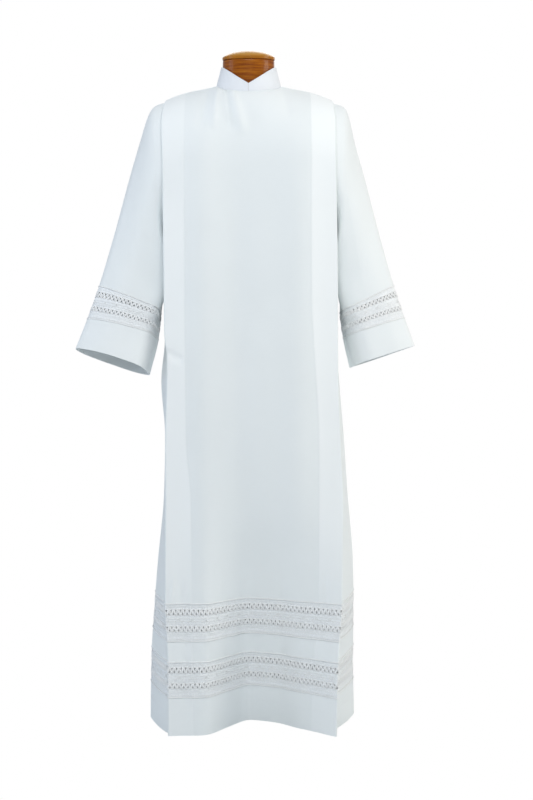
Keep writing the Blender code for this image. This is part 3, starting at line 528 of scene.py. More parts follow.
def body_grid(front):
    """A body panel from its shoulders to the upper lace: each column rises on a quarter
    ellipse to its place in the neckline or shoulder seam, and hangs down below that."""
    foot_z = BAND_1_TOP + SEAM / 2
    arc = np.linspace(0, RIGHT_ANGLE, ARC_ROWS + 1)[:, None]
    arm = RIGHT_ANGLE * steps(ARMHOLE_ROWS)[:, None]
    down = steps(SKIRT_ROWS)[:, None]
    turn = np.vstack([arc * 0, arm, down * 0 + RIGHT_ANGLE])
    place = front_place if front else back_place

    def half(side, layer, share):
        plies = layer_depth(layer, share) if front else back_dip(share)
        x_top = place(side, layer, share, share * 0 + NECK_Z, 0.0)[0]
        start_y, start_z, centre_z = top_edge(x_top, plies, front)
        z = np.vstack([centre_z + (start_z - centre_z) * np.cos(arc),
                       centre_z - (centre_z - UNDERARM_Z) * np.sin(arm),
                       UNDERARM_Z + (foot_z - UNDERARM_Z) * down + share * 0])
        x, y = place(side, layer, share[None, :], z, turn)
        top = slice(0, ARC_ROWS + 1)
        y[top] = start_y + (y[top] - start_y) * np.sin(arc)
        if front:
            z[-SKIRT_ROWS:] += front_rise(side, x, z)[-SKIRT_ROWS:] * down
        return np.stack([side * x, y, z], axis=-1)

    grid = soften_chest(whole_width(half, front))
    if front:
        relief = sum(crease(grid[..., 0], grid[..., 2], *one) for one in NECK_CREASES)
        relief = relief * smooth(np.arange(len(grid)) / NECK_FREE)[:, None]
        grid += (relief * top_layer())[..., None] * grid_normals(grid, 1)
    return grid


def soften_chest(grid):
    """Even out the rows below the neckline: each pass moves a point half way to the mean of
    its two neighbours in its row, and the result is eased in by row and by column."""
    soft = grid.copy()
    for _ in range(NECK_SOFTENING):
        soft[:, 1:-1] = (soft[:, :-2] + 2 * soft[:, 1:-1] + soft[:, 2:]) / 4
    rows = np.arange(len(grid))[:, None]
    columns = np.abs(np.arange(grid.shape[1]) - (grid.shape[1] - 1) / 2)
    share = between(rows, 1, SOFT_IN * ARC_ROWS, SOFT_END * ARC_ROWS, SOFT_OUT * ARC_ROWS)
    share = share * smooth((NECK_COLUMNS + SOFT_HALF * FLAT_COLUMNS - columns)
                           / (SOFT_SIDE * FLAT_COLUMNS))
    return grid + (soft - grid) * share[..., None]


def band_grid(front, top_z, foot_z):
    """One band of the skirt between two cross seams, a gap short at each."""
    level = top_z - SEAM / 2 + (foot_z - top_z + SEAM) * np.linspace(0, 1, BAND_ROWS + 1)[:, None]
    place = front_place if front else back_place

    def half(side, layer, share):
        z = level + share[None, :] * 0
        x, y = place(side, layer, share[None, :], z, RIGHT_ANGLE)
        if front:
            z = z + front_rise(side, x, z)
        return np.stack([side * x, y, z], axis=-1)

    return whole_width(half, front)


# ---- the sleeves and the collar

def sleeve_table(side):
    """The sleeve's rows with the armhole's ring before them."""
    name = side_name(side)
    under_x = float(curve(SIDE, name, UNDERARM_Z))
    edge_x = under_x - float(curve(SIDE, name + "_turn", UNDERARM_Z))
    seam_z = float(curve(SHOULDER, "z", edge_x))
    centre_z = seam_z - DROP
    front_y = float(front_layer_y(side, edge_x, centre_z) + curve(FRONT, name + "_open", centre_z))
    back_y = float(curve(BACK, "back_y", UNDERARM_Z) - curve(BACK, "round_off", UNDERARM_Z))
    armhole = (0.0, edge_x, seam_z - 2 * PLY_TOP, edge_x, centre_z, under_x + UNDERARM_STEP,
               UNDERARM_Z, 0.0, front_y, back_y, 0.0)
    return table(SLEEVE_COLUMNS, [armhole] + (SLEEVE_LEFT if side < 0 else SLEEVE_RIGHT))


def sleeve_relief(side, angle, run):
    """The sleeve's creases: each is a bell curve round the sleeve whose middle drifts along
    its length, eased in and out at its ends."""
    total = 0.0
    for middle, start, end, rise, half, turn in SLEEVE_CREASES[side]:
        share = (run - start) / (end - start)
        away = np.angle(np.exp(1j * (angle - (middle + turn * share))))
        total = total + rise * bell(away, half) * between(share, *CREASE_ENDS)
    return total


def sleeve_grid(side, start, end, rows):
    """Rings of a sleeve: each joins four half axes (outer, front, inner, back) by sine and
    cosine, leans by `tip`, and carries the creases along its normals."""
    rings = sleeve_table(side)
    run = np.linspace(start, end, rows + 1)[:, None]
    at = {name: curve(rings, name, run) for name in rings}
    angle = np.linspace(0, 2 * math.pi, ROUND_COLUMNS, endpoint=False)[None, :]
    up, down = np.maximum(np.cos(angle), 0), np.maximum(-np.cos(angle), 0)
    ahead, behind = np.maximum(np.sin(angle), 0), np.maximum(-np.sin(angle), 0)
    power = 1 - BOXY * between(run, *BOXY_RUN) * ((down > 0) & (ahead > 0))
    down, ahead = down ** power, ahead ** power
    x, z = (at["mid_" + axis] + (at["outer_" + axis] - at["mid_" + axis]) * up
            + (at["inner_" + axis] - at["mid_" + axis]) * down for axis in "xz")
    tucked = sum(between(run, *one) for one in TUCK_RUNS) / len(TUCK_RUNS)
    x = x - SLEEVE_TUCK[side] * tucked * bell(angle - TUCK_ANGLE, TUCK_HALF)
    out_y = (at["front_y"] - at["edge_y"]) * ahead + (at["back_y"] - at["edge_y"]) * behind
    grid = np.stack([side * x, at["edge_y"] + out_y + FORM_Y, z - at["tip"] * out_y], axis=-1)
    return grid + sleeve_relief(side, angle, run)[..., None] * grid_normals(grid, -side, True)


def collar_grid():
    """The standing collar: a strip from the centre front, right round and back to it, between
    the neckline's ellipse and a smaller, higher one that dips to a V in front."""
    end_gap = SEAM / 2 / NECK_FRONT
    angle = np.linspace(end_gap, 2 * math.pi - end_gap, COLLAR_COLUMNS + 1)[None, :]
    sine, cosine = np.sin(angle), np.cos(angle)
    ahead = cosine > 0
    foot_x = NECK_HALF * sine
    foot_y, foot_z = (np.where(ahead, *pair) for pair in
                      zip(neckline(np.abs(foot_x), True), neckline(np.abs(foot_x), False)))
    foot_z = foot_z + CLOTH / 2 + SEAM
    arm = COLLAR_NOTCH_Z + (COLLAR_SIDE_Z - COLLAR_NOTCH_Z) * np.abs(sine)
    top_z = np.where(ahead, arm, COLLAR_SIDE_Z + COLLAR_BACK_RISE * np.abs(cosine))
    lean = (top_z - foot_z) / (COLLAR_SIDE_Z - NECK_Z)
    top_x = (NECK_HALF + (COLLAR_TOP_HALF - NECK_HALF) * lean) * sine
    depth = np.where(ahead, NECK_FRONT, NECK_BACK)
    top_y = -(depth + (COLLAR_TOP_FRONT - NECK_FRONT) * lean) * cosine
    t = np.linspace(0, 1, COLLAR_ROWS + 1)[:, None]
    return np.stack([foot_x + (top_x - foot_x) * t, foot_y + (top_y - foot_y) * t + FORM_Y,
                     foot_z + (top_z - foot_z) * t], axis=-1)


# ---- mesh building

def unit(vectors):
    return vectors / np.maximum(np.linalg.norm(vectors, axis=-1, keepdims=True), 1e-12)


def pairs(first, second):
    """A list of (first, second) over two arrays that broadcast."""
    return np.stack(np.broadcast_arrays(first, second), axis=-1).reshape(-1, 2)


def grid_normals(grid, facing, wrap=False):
    """Unit normals of a grid: its downward difference crossed with its sideways one. facing
    is 1 where that points outwards and -1 where it points inwards."""
    padded = np.concatenate([grid[:, -1:], grid, grid[:, :1]], axis=1) if wrap else grid
    across = np.gradient(padded, axis=1)
    across = across[:, 1:-1] if wrap else across
    return facing * unit(np.cross(np.gradient(grid, axis=0), across))


def flat_sizes(grid, wrap=False):
    """Flat coordinates of a grid, in metres: the mean running length of its rows gives each
    column its place, and the mean running length of its columns gives each row its own."""
    closed = np.concatenate([grid, grid[:, :1]], axis=1) if wrap else grid
    step_s = np.linalg.norm(np.diff(closed, axis=1), axis=-1).mean(axis=0)
    step_t = np.linalg.norm(np.diff(grid, axis=0), axis=-1).mean(axis=1)
    return np.concatenate([[0], np.cumsum(step_s)]), np.concatenate([[0], np.cumsum(step_t)])


def sheet_faces(rows, columns, wrap=False):
    """Four-sided faces between neighbouring rows and columns, seen from the outer side."""
    r = np.arange(rows - 1)[:, None]
    c = np.arange(columns if wrap else columns - 1)[None, :]
    after = (c + 1) % columns
    quads = np.stack([r * columns + c, (r + 1) * columns + c,
                      (r + 1) * columns + after, r * columns + after], axis=-1)
    return quads.reshape(-1, 4)


def shell(grid, facing, thickness, wrap=False, flat=None):
    """A closed wall over a grid: the grid moved out and in along its normals by half the
    thickness, with a rim round its open edges."""
    rows, columns = grid.shape[:2]
    count = rows * columns
    half = grid_normals(grid, facing, wrap) * (thickness / 2)
    faces = sheet_faces(rows, columns, wrap)
    index = np.arange(count).reshape(rows, columns)
    if wrap:
        loops = [np.append(index[0], index[0, 0]), np.append(index[-1], index[-1, 0])[::-1]]
    else:
        loops = [np.concatenate([index[0], index[1:, -1], index[-1, -2::-1], index[-2::-1, 0]])]
    rims = [np.stack([loop[:-1], loop[1:], loop[1:] + count, loop[:-1] + count], axis=-1)
            for loop in loops]
    quads = np.concatenate([faces, faces[:, ::-1] + count] + rims)
    edge = np.zeros(2 * count, dtype=int)
    for loop in loops:
        edge[loop], edge[loop + count] = 1, 2
    s, t = flat or flat_sizes(grid, wrap)
    uv = pairs(s[None, :columns], -t[:, None])
    return dict(points=np.stack([grid + half, grid - half]).reshape(-1, 3),
                faces=[quads[:, ::-1] if facing < 0 else quads], uv=np.concatenate([uv, uv]),
                edge=edge)


def threads(paths, normals, width, height, sides=6, taper=None, closed=False):
    """Round threads: at each point of each path a ring of the half width across the path and
    the half height along the surface's normal, with flat ends unless the path is closed."""
    count, points = paths.shape[:2]
    if closed:
        along = np.roll(paths, -1, axis=1) - np.roll(paths, 1, axis=1)
    else:
        along = np.gradient(paths, axis=1)
    across = unit(np.cross(normals, along))
    up = unit(np.cross(along, across))
    angle = 2 * math.pi * (np.arange(sides) + 0.5) / sides
    size = (np.ones(points) if taper is None else np.asarray(taper))[None, :, None, None]
    ring = (paths[:, :, None] + across[:, :, None] * (size * width / 2 * np.cos(angle)[:, None])
            + up[:, :, None] * (size * height / 2 * np.sin(angle)[:, None]))
    first = (np.arange(count) * points * sides)[:, None, None]
    i = np.arange(points if closed else points - 1)[None, :, None] * sides
    after = (i + sides) % (points * sides)
    k = np.arange(sides)[None, None, :]
    beside = (k + 1) % sides
    quads = np.stack([first + i + k, first + i + beside, first + after + beside,
                      first + after + k], axis=-1)
    faces = [quads.reshape(-1, 4)]
    if not closed:
        j = np.arange(sides // 2 - 1)
        cap = np.stack([j, j + 1, sides - 2 - j, sides - 1 - j], axis=-1)[None]
        faces.append((first + cap[..., ::-1]).reshape(-1, 4))
        faces.append((first + (points - 1) * sides + cap).reshape(-1, 4))
    lengths = np.cumsum(np.linalg.norm(np.diff(paths, axis=1), axis=-1), axis=1)
    along = np.concatenate([np.zeros((count, 1)), lengths], axis=1)
    return dict(points=ring.reshape(-1, 3), faces=faces,
                uv=pairs(along[:, :, None], (angle * width / 2)[None, None]),
                edge=np.zeros(ring.size // 3, dtype=int))


def turned(profile, sides, centre_y):
    """A solid turned about an upright axis: each (radius, height) of the profile is a circle,
    and its two ends are closed at the axis by fans."""
    profile = np.asarray(profile, dtype=float)
    angle = np.linspace(0, 2 * math.pi, sides, endpoint=False)
    rings = np.stack([profile[:, :1] * np.cos(angle), profile[:, :1] * np.sin(angle) + centre_y,
                      profile[:, 1:] + 0 * angle], axis=-1)
    return closed_rings(rings)


def closed_rings(rings):
    """A closed solid over rings from top to bottom, with a fan at each end. The rings run
    counter-clockwise seen from above."""
    rows, sides = rings.shape[:2]
    points = np.concatenate([rings.reshape(-1, 3), rings[[0, -1]].mean(axis=1)])
    k = np.arange(sides)
    after, top, last = (k + 1) % sides, rows * sides, (rows - 1) * sides
    fan_top = np.stack([k * 0 + top, k, after], axis=-1)
    fan_foot = np.stack([k * 0 + top + 1, last + after, last + k], axis=-1)
    return dict(points=points, faces=[sheet_faces(rows, sides, True), fan_top, fan_foot],
                uv=np.zeros((len(points), 2)), edge=np.zeros(len(points), dtype=int))


def make_piece(name, slot, *groups, sharp_angle=None):
    """One object, named as the node it stands for. Each group is a finish and its parts."""
    parts = [part for _, group in groups for part in group]
    loops, sizes, slots, first = [], [], [], 0
    for number, (_, group) in enumerate(groups):
        for part in group:
            for faces in part["faces"]:
                loops.append((faces + first).ravel())
                sizes.append(np.full(len(faces), faces.shape[1]))
                slots.append(np.full(len(faces), number))
            first += len(part["points"])
    loops, sizes, slots = map(np.concatenate, (loops, sizes, slots))
    points, uv, edge = (np.concatenate([part[key] for part in parts])
                        for key in ("points", "uv", "edge"))
    # The plies mask, where a part has one, carries the painted light over the pleats' strips.
    plies = np.concatenate([part.get("plies", np.zeros(len(part["points"]))) for part in parts])
    mesh = bpy.data.meshes.new(name)
    mesh.vertices.add(len(points))
    mesh.vertices.foreach_set("co", points.ravel())
    mesh.loops.add(len(loops))
    mesh.loops.foreach_set("vertex_index", loops.astype(np.int32))
    mesh.polygons.add(len(sizes))
    mesh.polygons.foreach_set("loop_start", (np.cumsum(sizes) - sizes).astype(np.int32))
    mesh.polygons.foreach_set("material_index", slots.astype(np.int32))
    mesh.polygons.foreach_set("use_smooth", np.ones(len(sizes), dtype=bool))
    mesh.update(calc_edges=True)
    mesh.uv_layers.new(name="flat").data.foreach_set("uv", uv[loops].ravel())
    ends = np.empty(2 * len(mesh.edges), dtype=np.int32)
    mesh.edges.foreach_get("vertices", ends)
    ends = edge[ends.reshape(-1, 2)]
    sharp = (ends[:, 0] > 0) & (ends[:, 0] == ends[:, 1])
    mesh.attributes.new("sharp_edge", "BOOLEAN", "EDGE").data.foreach_set("value", sharp)
    if plies.any():
        mesh.attributes.new("plies", "FLOAT", "POINT").data.foreach_set("value", plies)
    if sharp_angle is not None:
        mesh.set_sharp_from_angle(angle=sharp_angle)
    for finish, _ in groups:
        mesh.materials.append(finish)
    mesh.validate()
    piece = bpy.data.objects.new(name, mesh)
    bpy.context.scene.collection.objects.link(piece)
    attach(piece, "root")
    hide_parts(name)


class Laid:
    """A grid read as a surface by its flat coordinates: s along it and t down it, in metres,
    with h the height above it. Places between grid points are read by straight shares."""

    def __init__(self, grid, facing, wrap=False):
        self.s, self.t = flat_sizes(grid, wrap)
        normals = grid_normals(grid, facing, wrap)
        close = (lambda a: np.concatenate([a, a[:, :1]], axis=1)) if wrap else (lambda a: a)
        self.points, self.normals = close(grid), close(normals)
        self.wrap, self.facing = wrap, facing
        self.length, self.height = self.s[-1], self.t[-1]

    def at(self, s, t, h=0.0):
        """Points at height h above flat places, and the normals there."""
        s, t, h = np.broadcast_arrays(np.asarray(s, float), t, h)
        if self.wrap:
            s = np.mod(s, self.length)
        j = np.clip(np.searchsorted(self.s, s, side="right") - 1, 0, len(self.s) - 2)
        i = np.clip(np.searchsorted(self.t, t, side="right") - 1, 0, len(self.t) - 2)
        u = np.clip((s - self.s[j]) / (self.s[j + 1] - self.s[j]), 0, 1)[..., None]
        v = np.clip((t - self.t[i]) / (self.t[i + 1] - self.t[i]), 0, 1)[..., None]

        def read(a):
            return ((a[i, j] * (1 - u) + a[i, j + 1] * u) * (1 - v)
                    + (a[i + 1, j] * (1 - u) + a[i + 1, j + 1] * u) * v)

        normals = unit(read(self.normals))
        return read(self.points) + normals * h[..., None], normals

    def line(self, start, end, share, h):
        """Points and normals at shares of the straight line between two flat places."""
        (s0, t0), (s1, t1) = start, end
        return self.at(s0 + (s1 - s0) * share, t0 + (t1 - t0) * share, h)


# ---- finishes

class Nodes:
    """A material under construction: adds nodes and joins their sockets."""

    def __init__(self, name, colour, roughness, **sockets):
        self.material = bpy.data.materials.new(name)
        self.material.use_nodes = True
        self.tree = self.material.node_tree
        self.surface = self.tree.nodes["Principled BSDF"]
        self.end(Base_Color=colour, Roughness=roughness, **sockets)

    def put(self, socket, value):
        """Join a node's socket, or give it a value; colours are opaque."""
        if isinstance(value, bpy.types.NodeSocket):
            self.tree.links.new(value, socket)
        else:
            socket.default_value = (*value, 1.0) if socket.type == "RGBA" else value

    def end(self, **inputs):
        """Set sockets of the surface itself."""
        for key, value in inputs.items():
            self.put(self.surface.inputs[key.replace("_", " ")], value)

    def add(self, kind, settings=None, **inputs):
        node = self.tree.nodes.new(kind)
        for key, value in (settings or {}).items():
            setattr(node, key, value)
        for key, value in inputs.items():
            self.put(node.inputs[key.replace("_", " ")], value)
        return node

    def maths(self, operation, first, second=0.0):
        node = self.add("ShaderNodeMath", dict(operation=operation))
        self.put(node.inputs[0], first)
        self.put(node.inputs[1], second)
        return node.outputs[0]

    def scaled(self, value, gain, plus):
        return self.maths("ADD", self.maths("MULTIPLY", value, gain), plus)

    def wave(self, at, length):
        return self.maths("SINE", self.maths("MULTIPLY", at, 2 * math.pi / length))

    def blend(self, share, first, second):
        node = self.add("ShaderNodeMix", dict(data_type="RGBA"))
        for number, value in ((0, share), (6, first), (7, second)):
            self.put(node.inputs[number], value)
        return node.outputs[2]

    def ramp(self, value, *stops):
        node = self.add("ShaderNodeValToRGB", Fac=value)
        band = node.color_ramp
        for place, colour in stops[2:]:
            band.elements.new(place)
        for element, (place, colour) in zip(band.elements, sorted(stops)):
            element.position, element.color = place, (*colour, 1.0)
        return node.outputs["Color"]

    def noise(self, at, scale, detail=3.0, stretch=(1, 1, 1)):
        placed = self.add("ShaderNodeMapping", Vector=at, Scale=stretch).outputs[0]
        node = self.add("ShaderNodeTexNoise", Vector=placed, Scale=scale, Detail=detail)
        return node.outputs["Fac"]

    def flat(self):
        """The flat coordinates, whole and axis by axis."""
        place = self.add("ShaderNodeUVMap", dict(uv_map="flat")).outputs[0]
        return place, self.add("ShaderNodeSeparateXYZ", Vector=place).outputs

    def bump(self, height, strength, distance):
        node = self.add("ShaderNodeBump", Height=height, Strength=strength, Distance=distance)
        self.end(Normal=node.outputs[0])
        return self.material


def woven(name, colour, shade, roughness, thread, painted_strip_light=None, **sockets):
    """Plain-weave cloth: two crossed waves of the thread's spacing raise the bump, slubs run
    along the weft, and broad soft clouds shift the colour a little."""
    made = Nodes(name, colour, roughness, **sockets)
    flat, axes = made.flat()
    weave = made.maths("MULTIPLY", made.wave(axes[0], thread), made.wave(axes[1], thread))
    slub = made.noise(flat, 1.0, 2.0, (40, 900, 1))
    cloud = made.noise(flat, 9.0, 3.0)
    tone = made.blend(made.scaled(slub, 0.5, made.maths("MULTIPLY", cloud, 0.5)), shade, colour)
    # Over the pleats' strips the colour is blended towards a paler one by the plies mask: painted
    # light.
    if painted_strip_light:
        plies = made.add("ShaderNodeAttribute", dict(attribute_name="plies")).outputs["Fac"]
        tone = made.blend(plies, tone, painted_strip_light)
    made.end(Base_Color=tone)
    return made.bump(made.scaled(weave, 0.35, slub), 0.25, 0.0004)


def net(name, colour, hole, cell):
    """Fine net: the edges of small cells are thread, and the cells between are darker, a painted
    shade that stands in for the shaded inside of the robe seen through the net's holes.
    """
    made = Nodes(name, colour, 0.8)
    flat, _ = made.flat()
    cells = made.add("ShaderNodeTexVoronoi", dict(feature="DISTANCE_TO_EDGE"), Vector=flat,
                     Scale=1 / cell, Randomness=0.35)
    thread = made.ramp(cells.outputs["Distance"], (0.12, (1, 1, 1)), (0.34, (0, 0, 0)))
    dense = made.ramp(made.noise(flat, 210.0, 2.0), (0.50, (0, 0, 0)), (0.60, (1, 1, 1)))
    cover = made.maths("MAXIMUM", thread, dense)
    made.end(Base_Color=made.blend(cover, hole, colour))
    return made.bump(cover, 0.5, 0.0005)


def yarn(name, colour, roughness, twist):
    """Twisted thread: slanting waves along the thread's own length."""
    made = Nodes(name, colour, roughness, Sheen_Weight=0.2)
    _, axes = made.flat()
    ply = made.wave(made.maths("ADD", axes[0], axes[1]), twist)
    # The twist's grooves take a darker colour: painted shade between the yarn's strands.
    darker = tuple(0.86 * value for value in colour)
    made.end(Base_Color=made.blend(made.scaled(ply, 0.5, 0.5), darker, colour))
    return made.bump(ply, 0.4, 0.0003)


def varnished_wood(name, across, down):
    """Turned hardwood under varnish: grain stretched along the turning, paler on the rim and
    golden on the dome."""
    made = Nodes(name, (0.30, 0.09, 0.012), 0.34, Specular_IOR_Level=0.14, Coat_Weight=0.14,
                 Coat_Roughness=0.07)
    place = made.add("ShaderNodeTexCoord").outputs["Object"]
    grain = made.noise(place, 1.0, 5.0, across)
    fine = made.noise(place, 1.0, 4.0, down)
    mixed = made.scaled(grain, 0.65, made.maths("MULTIPLY", fine, 0.35))
    tone = made.ramp(mixed, (0.30, (0.120, 0.024, 0.001)), (0.43, (0.220, 0.052, 0.002)),
                     (0.56, (0.320, 0.094, 0.004)), (0.72, (0.450, 0.160, 0.010)))
    height = made.add("ShaderNodeSeparateXYZ", Vector=place).outputs[2]
    for start, full, share, paler in (
            (NECK_GROOVE_Z + 0.0005, NECK_GROOVE_Z + 0.0020, 0.45, (0.50, 0.22, 0.018)),
            (NECK_RIM_Z - 0.0010, NECK_RIM_Z + 0.0050, 0.60, (0.64, 0.36, 0.07))):
        above = made.add("ShaderNodeMapRange", Value=height, From_Min=start, From_Max=full)
        tone = made.blend(made.maths("MULTIPLY", above.outputs[0], share), tone, paler)
    made.end(Base_Color=tone, Roughness=made.scaled(fine, 0.2, 0.22))
    return made.bump(mixed, 0.12, 0.0004)


def brushed_steel(name):
    """Satin steel: fine streaks along the bar in colour, roughness and bump."""
    made = Nodes(name, (0.60, 0.61, 0.63), 0.35, Metallic=1.0)
    place = made.add("ShaderNodeTexCoord").outputs["Object"]
    streak = made.noise(place, 1.0, 3.0, (60, 900, 900))
    made.end(Base_Color=made.ramp(streak, (0.35, (0.46, 0.47, 0.49)), (0.65, (0.66, 0.67, 0.69))),
             Roughness=made.scaled(streak, 0.25, 0.25))
    return made.bump(streak, 0.15, 0.0003)


# The white cloth's paler third colour is painted light over the pleats' strips.
WHITE_CLOTH = woven("white_cloth", (0.842, 0.882, 0.886), (0.782, 0.828, 0.834), 0.82, 0.0011,
                    painted_strip_light=(0.885, 0.92, 0.922), Sheen_Weight=0.12, Sheen_Roughness=0.5)
COLLAR_CLOTH = woven("collar_cloth", (0.80, 0.83, 0.865), (0.745, 0.78, 0.815), 0.80, 0.0009,
                     Sheen_Weight=0.12, Sheen_Roughness=0.5)
# The net's second colour is painted shade in its holes.
LACE_NET = net("lace_net", (0.89, 0.92, 0.93), (0.70, 0.74, 0.755), 0.0020)
LACE_YARN = yarn("lace_yarn", (0.94, 0.96, 0.96), 0.7, 0.0012)
SEWING_YARN = yarn("sewing_yarn", (0.84, 0.86, 0.89), 0.6, 0.0006)
FORM_JERSEY = woven("form_jersey", (0.72, 0.66, 0.56), (0.66, 0.60, 0.50), 0.85, 0.0016)
NECK_WOOD = varnished_wood("neck_wood", (14, 14, 260), (60, 60, 1400))
STEEL = brushed_steel("satin_steel")


# ---- the lace

def make_lace(name, laid, height, pitch_wanted):
    """A band of lace laid on a surface: strips of net, and between them open rows in which a
    zigzag of thick thread runs between two fine ones; cords and sprigs lie on the net. Widths
    and heights of threads are those of the upper hem band, and shrink with a narrower one."""
    count = max(4, round(laid.length / pitch_wanted))
    pitch = laid.length / count
    down = laid.height / height
    scale = height / (BAND_1_TOP - BAND_1_FOOT)
    along = laid.s[:-1] if laid.wrap else laid.s
    fine = np.unique(np.concatenate([along, (laid.s[:-1] + laid.s[1:]) / 2]))[None, :]
    strips, yarns = [], []
    for top, foot in LACE_STRIPS:
        level = np.linspace(top, foot, NET_ROWS) * height
        grid, _ = laid.at(along, level[:, None] * down)
        strips.append(shell(grid, laid.facing, NET_THICKNESS, laid.wrap, flat=(along, level)))

    def lay(s, share, width, tall, lift, **how):
        path = laid.at(s, share * height * down, lift)
        yarns.append(threads(*path, width * scale, tall * scale, **how))

    for share, width, tall in LACE_CORDS:
        lay(fine, share, width, tall, CORD_LIFT + tall * CORD_RISE, closed=laid.wrap)
    for top, foot in LACE_ROWS:
        for share in (top, foot):
            lay(fine, share, *LACE_RAIL, closed=laid.wrap)
        wave = np.arange(count * ZIGZAG_POINTS + (not laid.wrap))[None, :] / ZIGZAG_POINTS
        swing = smooth(np.abs(2 * (wave % 1) - 1) * (1 + 2 * ZIGZAG_REST) - ZIGZAG_REST)
        lay(wave * pitch, top + (foot - top) * swing, *LACE_ZIGZAG, closed=laid.wrap)
        knots = np.arange(2 * count)[:, None]
        reach = np.linspace(-1, 1, 4) * KNOT_HALF * scale
        lay(knots / 2 * pitch + (0 if laid.wrap else pitch / 4) + reach,
            np.where(knots % 2 == 0, foot, top), *LACE_KNOT, taper=(0.35, 1, 1, 0.35))
    # sprigs: five petals and two leaves, every third pitch along the middle strip
    places = (np.arange(count // 3) + 0.5) * 3 * pitch
    turns = np.append(np.arange(5) * 2 * math.pi / 5, (LEAF_TILT, math.pi - LEAF_TILT))[:, None]
    inner, outer = (scale * np.array([petal] * 5 + [leaf] * 2)[:, None]
                    for petal, leaf in zip(PETAL_REACH, LEAF_REACH))
    reach = inner + (outer - inner) * np.linspace(0, 1, 4)
    lay((places[:, None, None] + np.cos(turns) * reach).reshape(-1, 4),
        np.tile(sum(LACE_STRIPS[1]) / 2 + np.sin(turns) * reach / height, (len(places), 1)),
        *LACE_SPRIG, taper=(0.4, 1, 0.9, 0.25))
    make_piece(name, "lace", (LACE_NET, strips), (LACE_YARN, yarns))


# ---- stitching

def stitch_row(laid, start, end, lift=CLOTH / 2):
    """A row of stitches between two flat places: short threads that rise in their middle."""
    length = math.dist(start, end)
    count = int(length / STITCH_STEP)
    share = (np.arange(count)[:, None] + 0.5) / count + np.linspace(-0.5, 0.5, 3) * STITCH / length
    return threads(*laid.line(start, end, share, lift + np.array(STITCH_ARC)),
                   STITCH_WIDTH, STITCH_WIDTH, 4, taper=(0.5, 1, 0.5))


def level_line(laid, level):
    """The two ends of a row of stitches that runs along a flat piece."""
    return (STITCH_INSET, level), (laid.length - STITCH_INSET, level)


def seam_ridge(laid, start, end, width, height, points, lift=CLOTH / 2):
    """A low rounded ridge where cloth is folded or seamed, between two flat places."""
    return threads(*laid.line(start, end, np.linspace(0, 1, points)[None, :], lift), width, height)


def side_seams(laid, start=0.0):
    """Ridges down both ends of a front piece, over the gaps to the back."""
    return [seam_ridge(laid, (s, start), (s, laid.height), *SIDE_RIDGE)
            for s in (SEAM, laid.length - SEAM)]


def facing_line(laid):
    """The edge of the facing, a low ridge below the collar's foot."""
    centre = laid.s[len(laid.s) // 2]
    ends = [(centre + out, FACING_DEPTH) for out in (-FACING_HALF, FACING_HALF)]
    return seam_ridge(laid, *ends, *FACING_RIDGE, lift=CLOTH / 2 - 0.0002)


def shoulder_tape(side):
    """The bound seam along one shoulder: a narrow tape from the front's top layer, over the
    pleat's raw layers and down to the back's edge."""
    x = np.linspace(NECK_HALF + 0.0030, TAPE_END[side], TAPE_COLUMNS)
    fall = 2 * PLY_TOP * smooth((x - TAPE_FALL_FROM) / TAPE_FALL_OVER)
    y, up, drop = np.array(TAPE_ROWS).T[..., None]
    z = curve(SHOULDER, "z", x) + up - drop * fall
    grid = np.stack(np.broadcast_arrays(side * x, y + FORM_Y, z), axis=-1)
    return shell(grid, -side, TAPE_THICKNESS)


# ---- the robe

def cloth_wall(grid, facing, front):
    """A cloth wall; on the front it also carries a mask of painted light: a paler colour where its
    top layer has the pleat behind it, less of it towards the hem, and less on the left strip from
    the chest up, which is painted shade.
    """
    wall = shell(grid, facing, CLOTH)
    if front:
        x, z = grid[..., 0], grid[..., 2]
        painted_strip_light = strip_share(x, z) * top_layer()[None, :]
        gained = smooth((z - STRIP_LOW_Z) / STRIP_GAIN_OVER)
        lost = smooth((z - LEFT_LOSS_Z) / LEFT_LOSS_OVER) * (x < 0)
        painted_strip_light = painted_strip_light * (STRIP_LOW + (1 - STRIP_LOW) * gained) * (1 - LEFT_LOSS * lost)
        wall["plies"] = np.concatenate([painted_strip_light.ravel(), painted_strip_light.ravel()])
    return wall


def inside_layer(band, places, wrap=False):
    """The inside layer of a turned hem, at shares of the band's height."""
    s = band.s[:-1] if wrap else band.s
    points, _ = band.at(s, np.array(places)[:, None] * band.height, -INSIDE_DEPTH)
    return shell(points, band.facing, INSIDE_THICKNESS, wrap)


def build_body(front):
    """The front or the back, from the shoulders to the hem."""
    word, facing = ("front", 1) if front else ("back", -1)
    grid = body_grid(front)
    laid = Laid(grid, facing)
    walls = [cloth_wall(grid, facing, front)]
    if front:
        walls += [facing_line(laid), shoulder_tape(-1), shoulder_tape(1)]
        walls += side_seams(laid, laid.t[ARC_ROWS + ARMHOLE_ROWS])
    make_piece(word + "_body", "cloth", (WHITE_CLOTH, walls))
    for name, top_z, foot_z in (("lace_hem_upper", BAND_1_TOP, BAND_1_FOOT),
                                ("lace_hem_lower", BAND_2_TOP, BAND_2_FOOT)):
        band = Laid(band_grid(front, top_z, foot_z), facing)
        make_lace(f"{name}_{word}", band, top_z - foot_z, HEM_PITCH)
    for name, top_z, foot_z in (("plain_band", BAND_1_FOOT, BAND_2_TOP),
                                ("hem", BAND_2_FOOT, HEM_Z)):
        grid = band_grid(front, top_z, foot_z)
        band = Laid(grid, facing)
        walls, stitches = [cloth_wall(grid, facing, front)], []
        if front:
            walls += side_seams(band)
        if name == "hem":
            edge, level = band.height - 0.0006, band.height * HEM_STITCHES
            walls.append(inside_layer(band, HEM_INSIDE))
            walls.append(seam_ridge(band, (0, edge), (band.length, edge), *HEM_RIDGE,
                                    lift=-0.0004))
            stitches.append(stitch_row(band, *level_line(band, level)))
        make_piece(f"{name}_{word}", "cloth", (WHITE_CLOTH, walls), (SEWING_YARN, stitches))


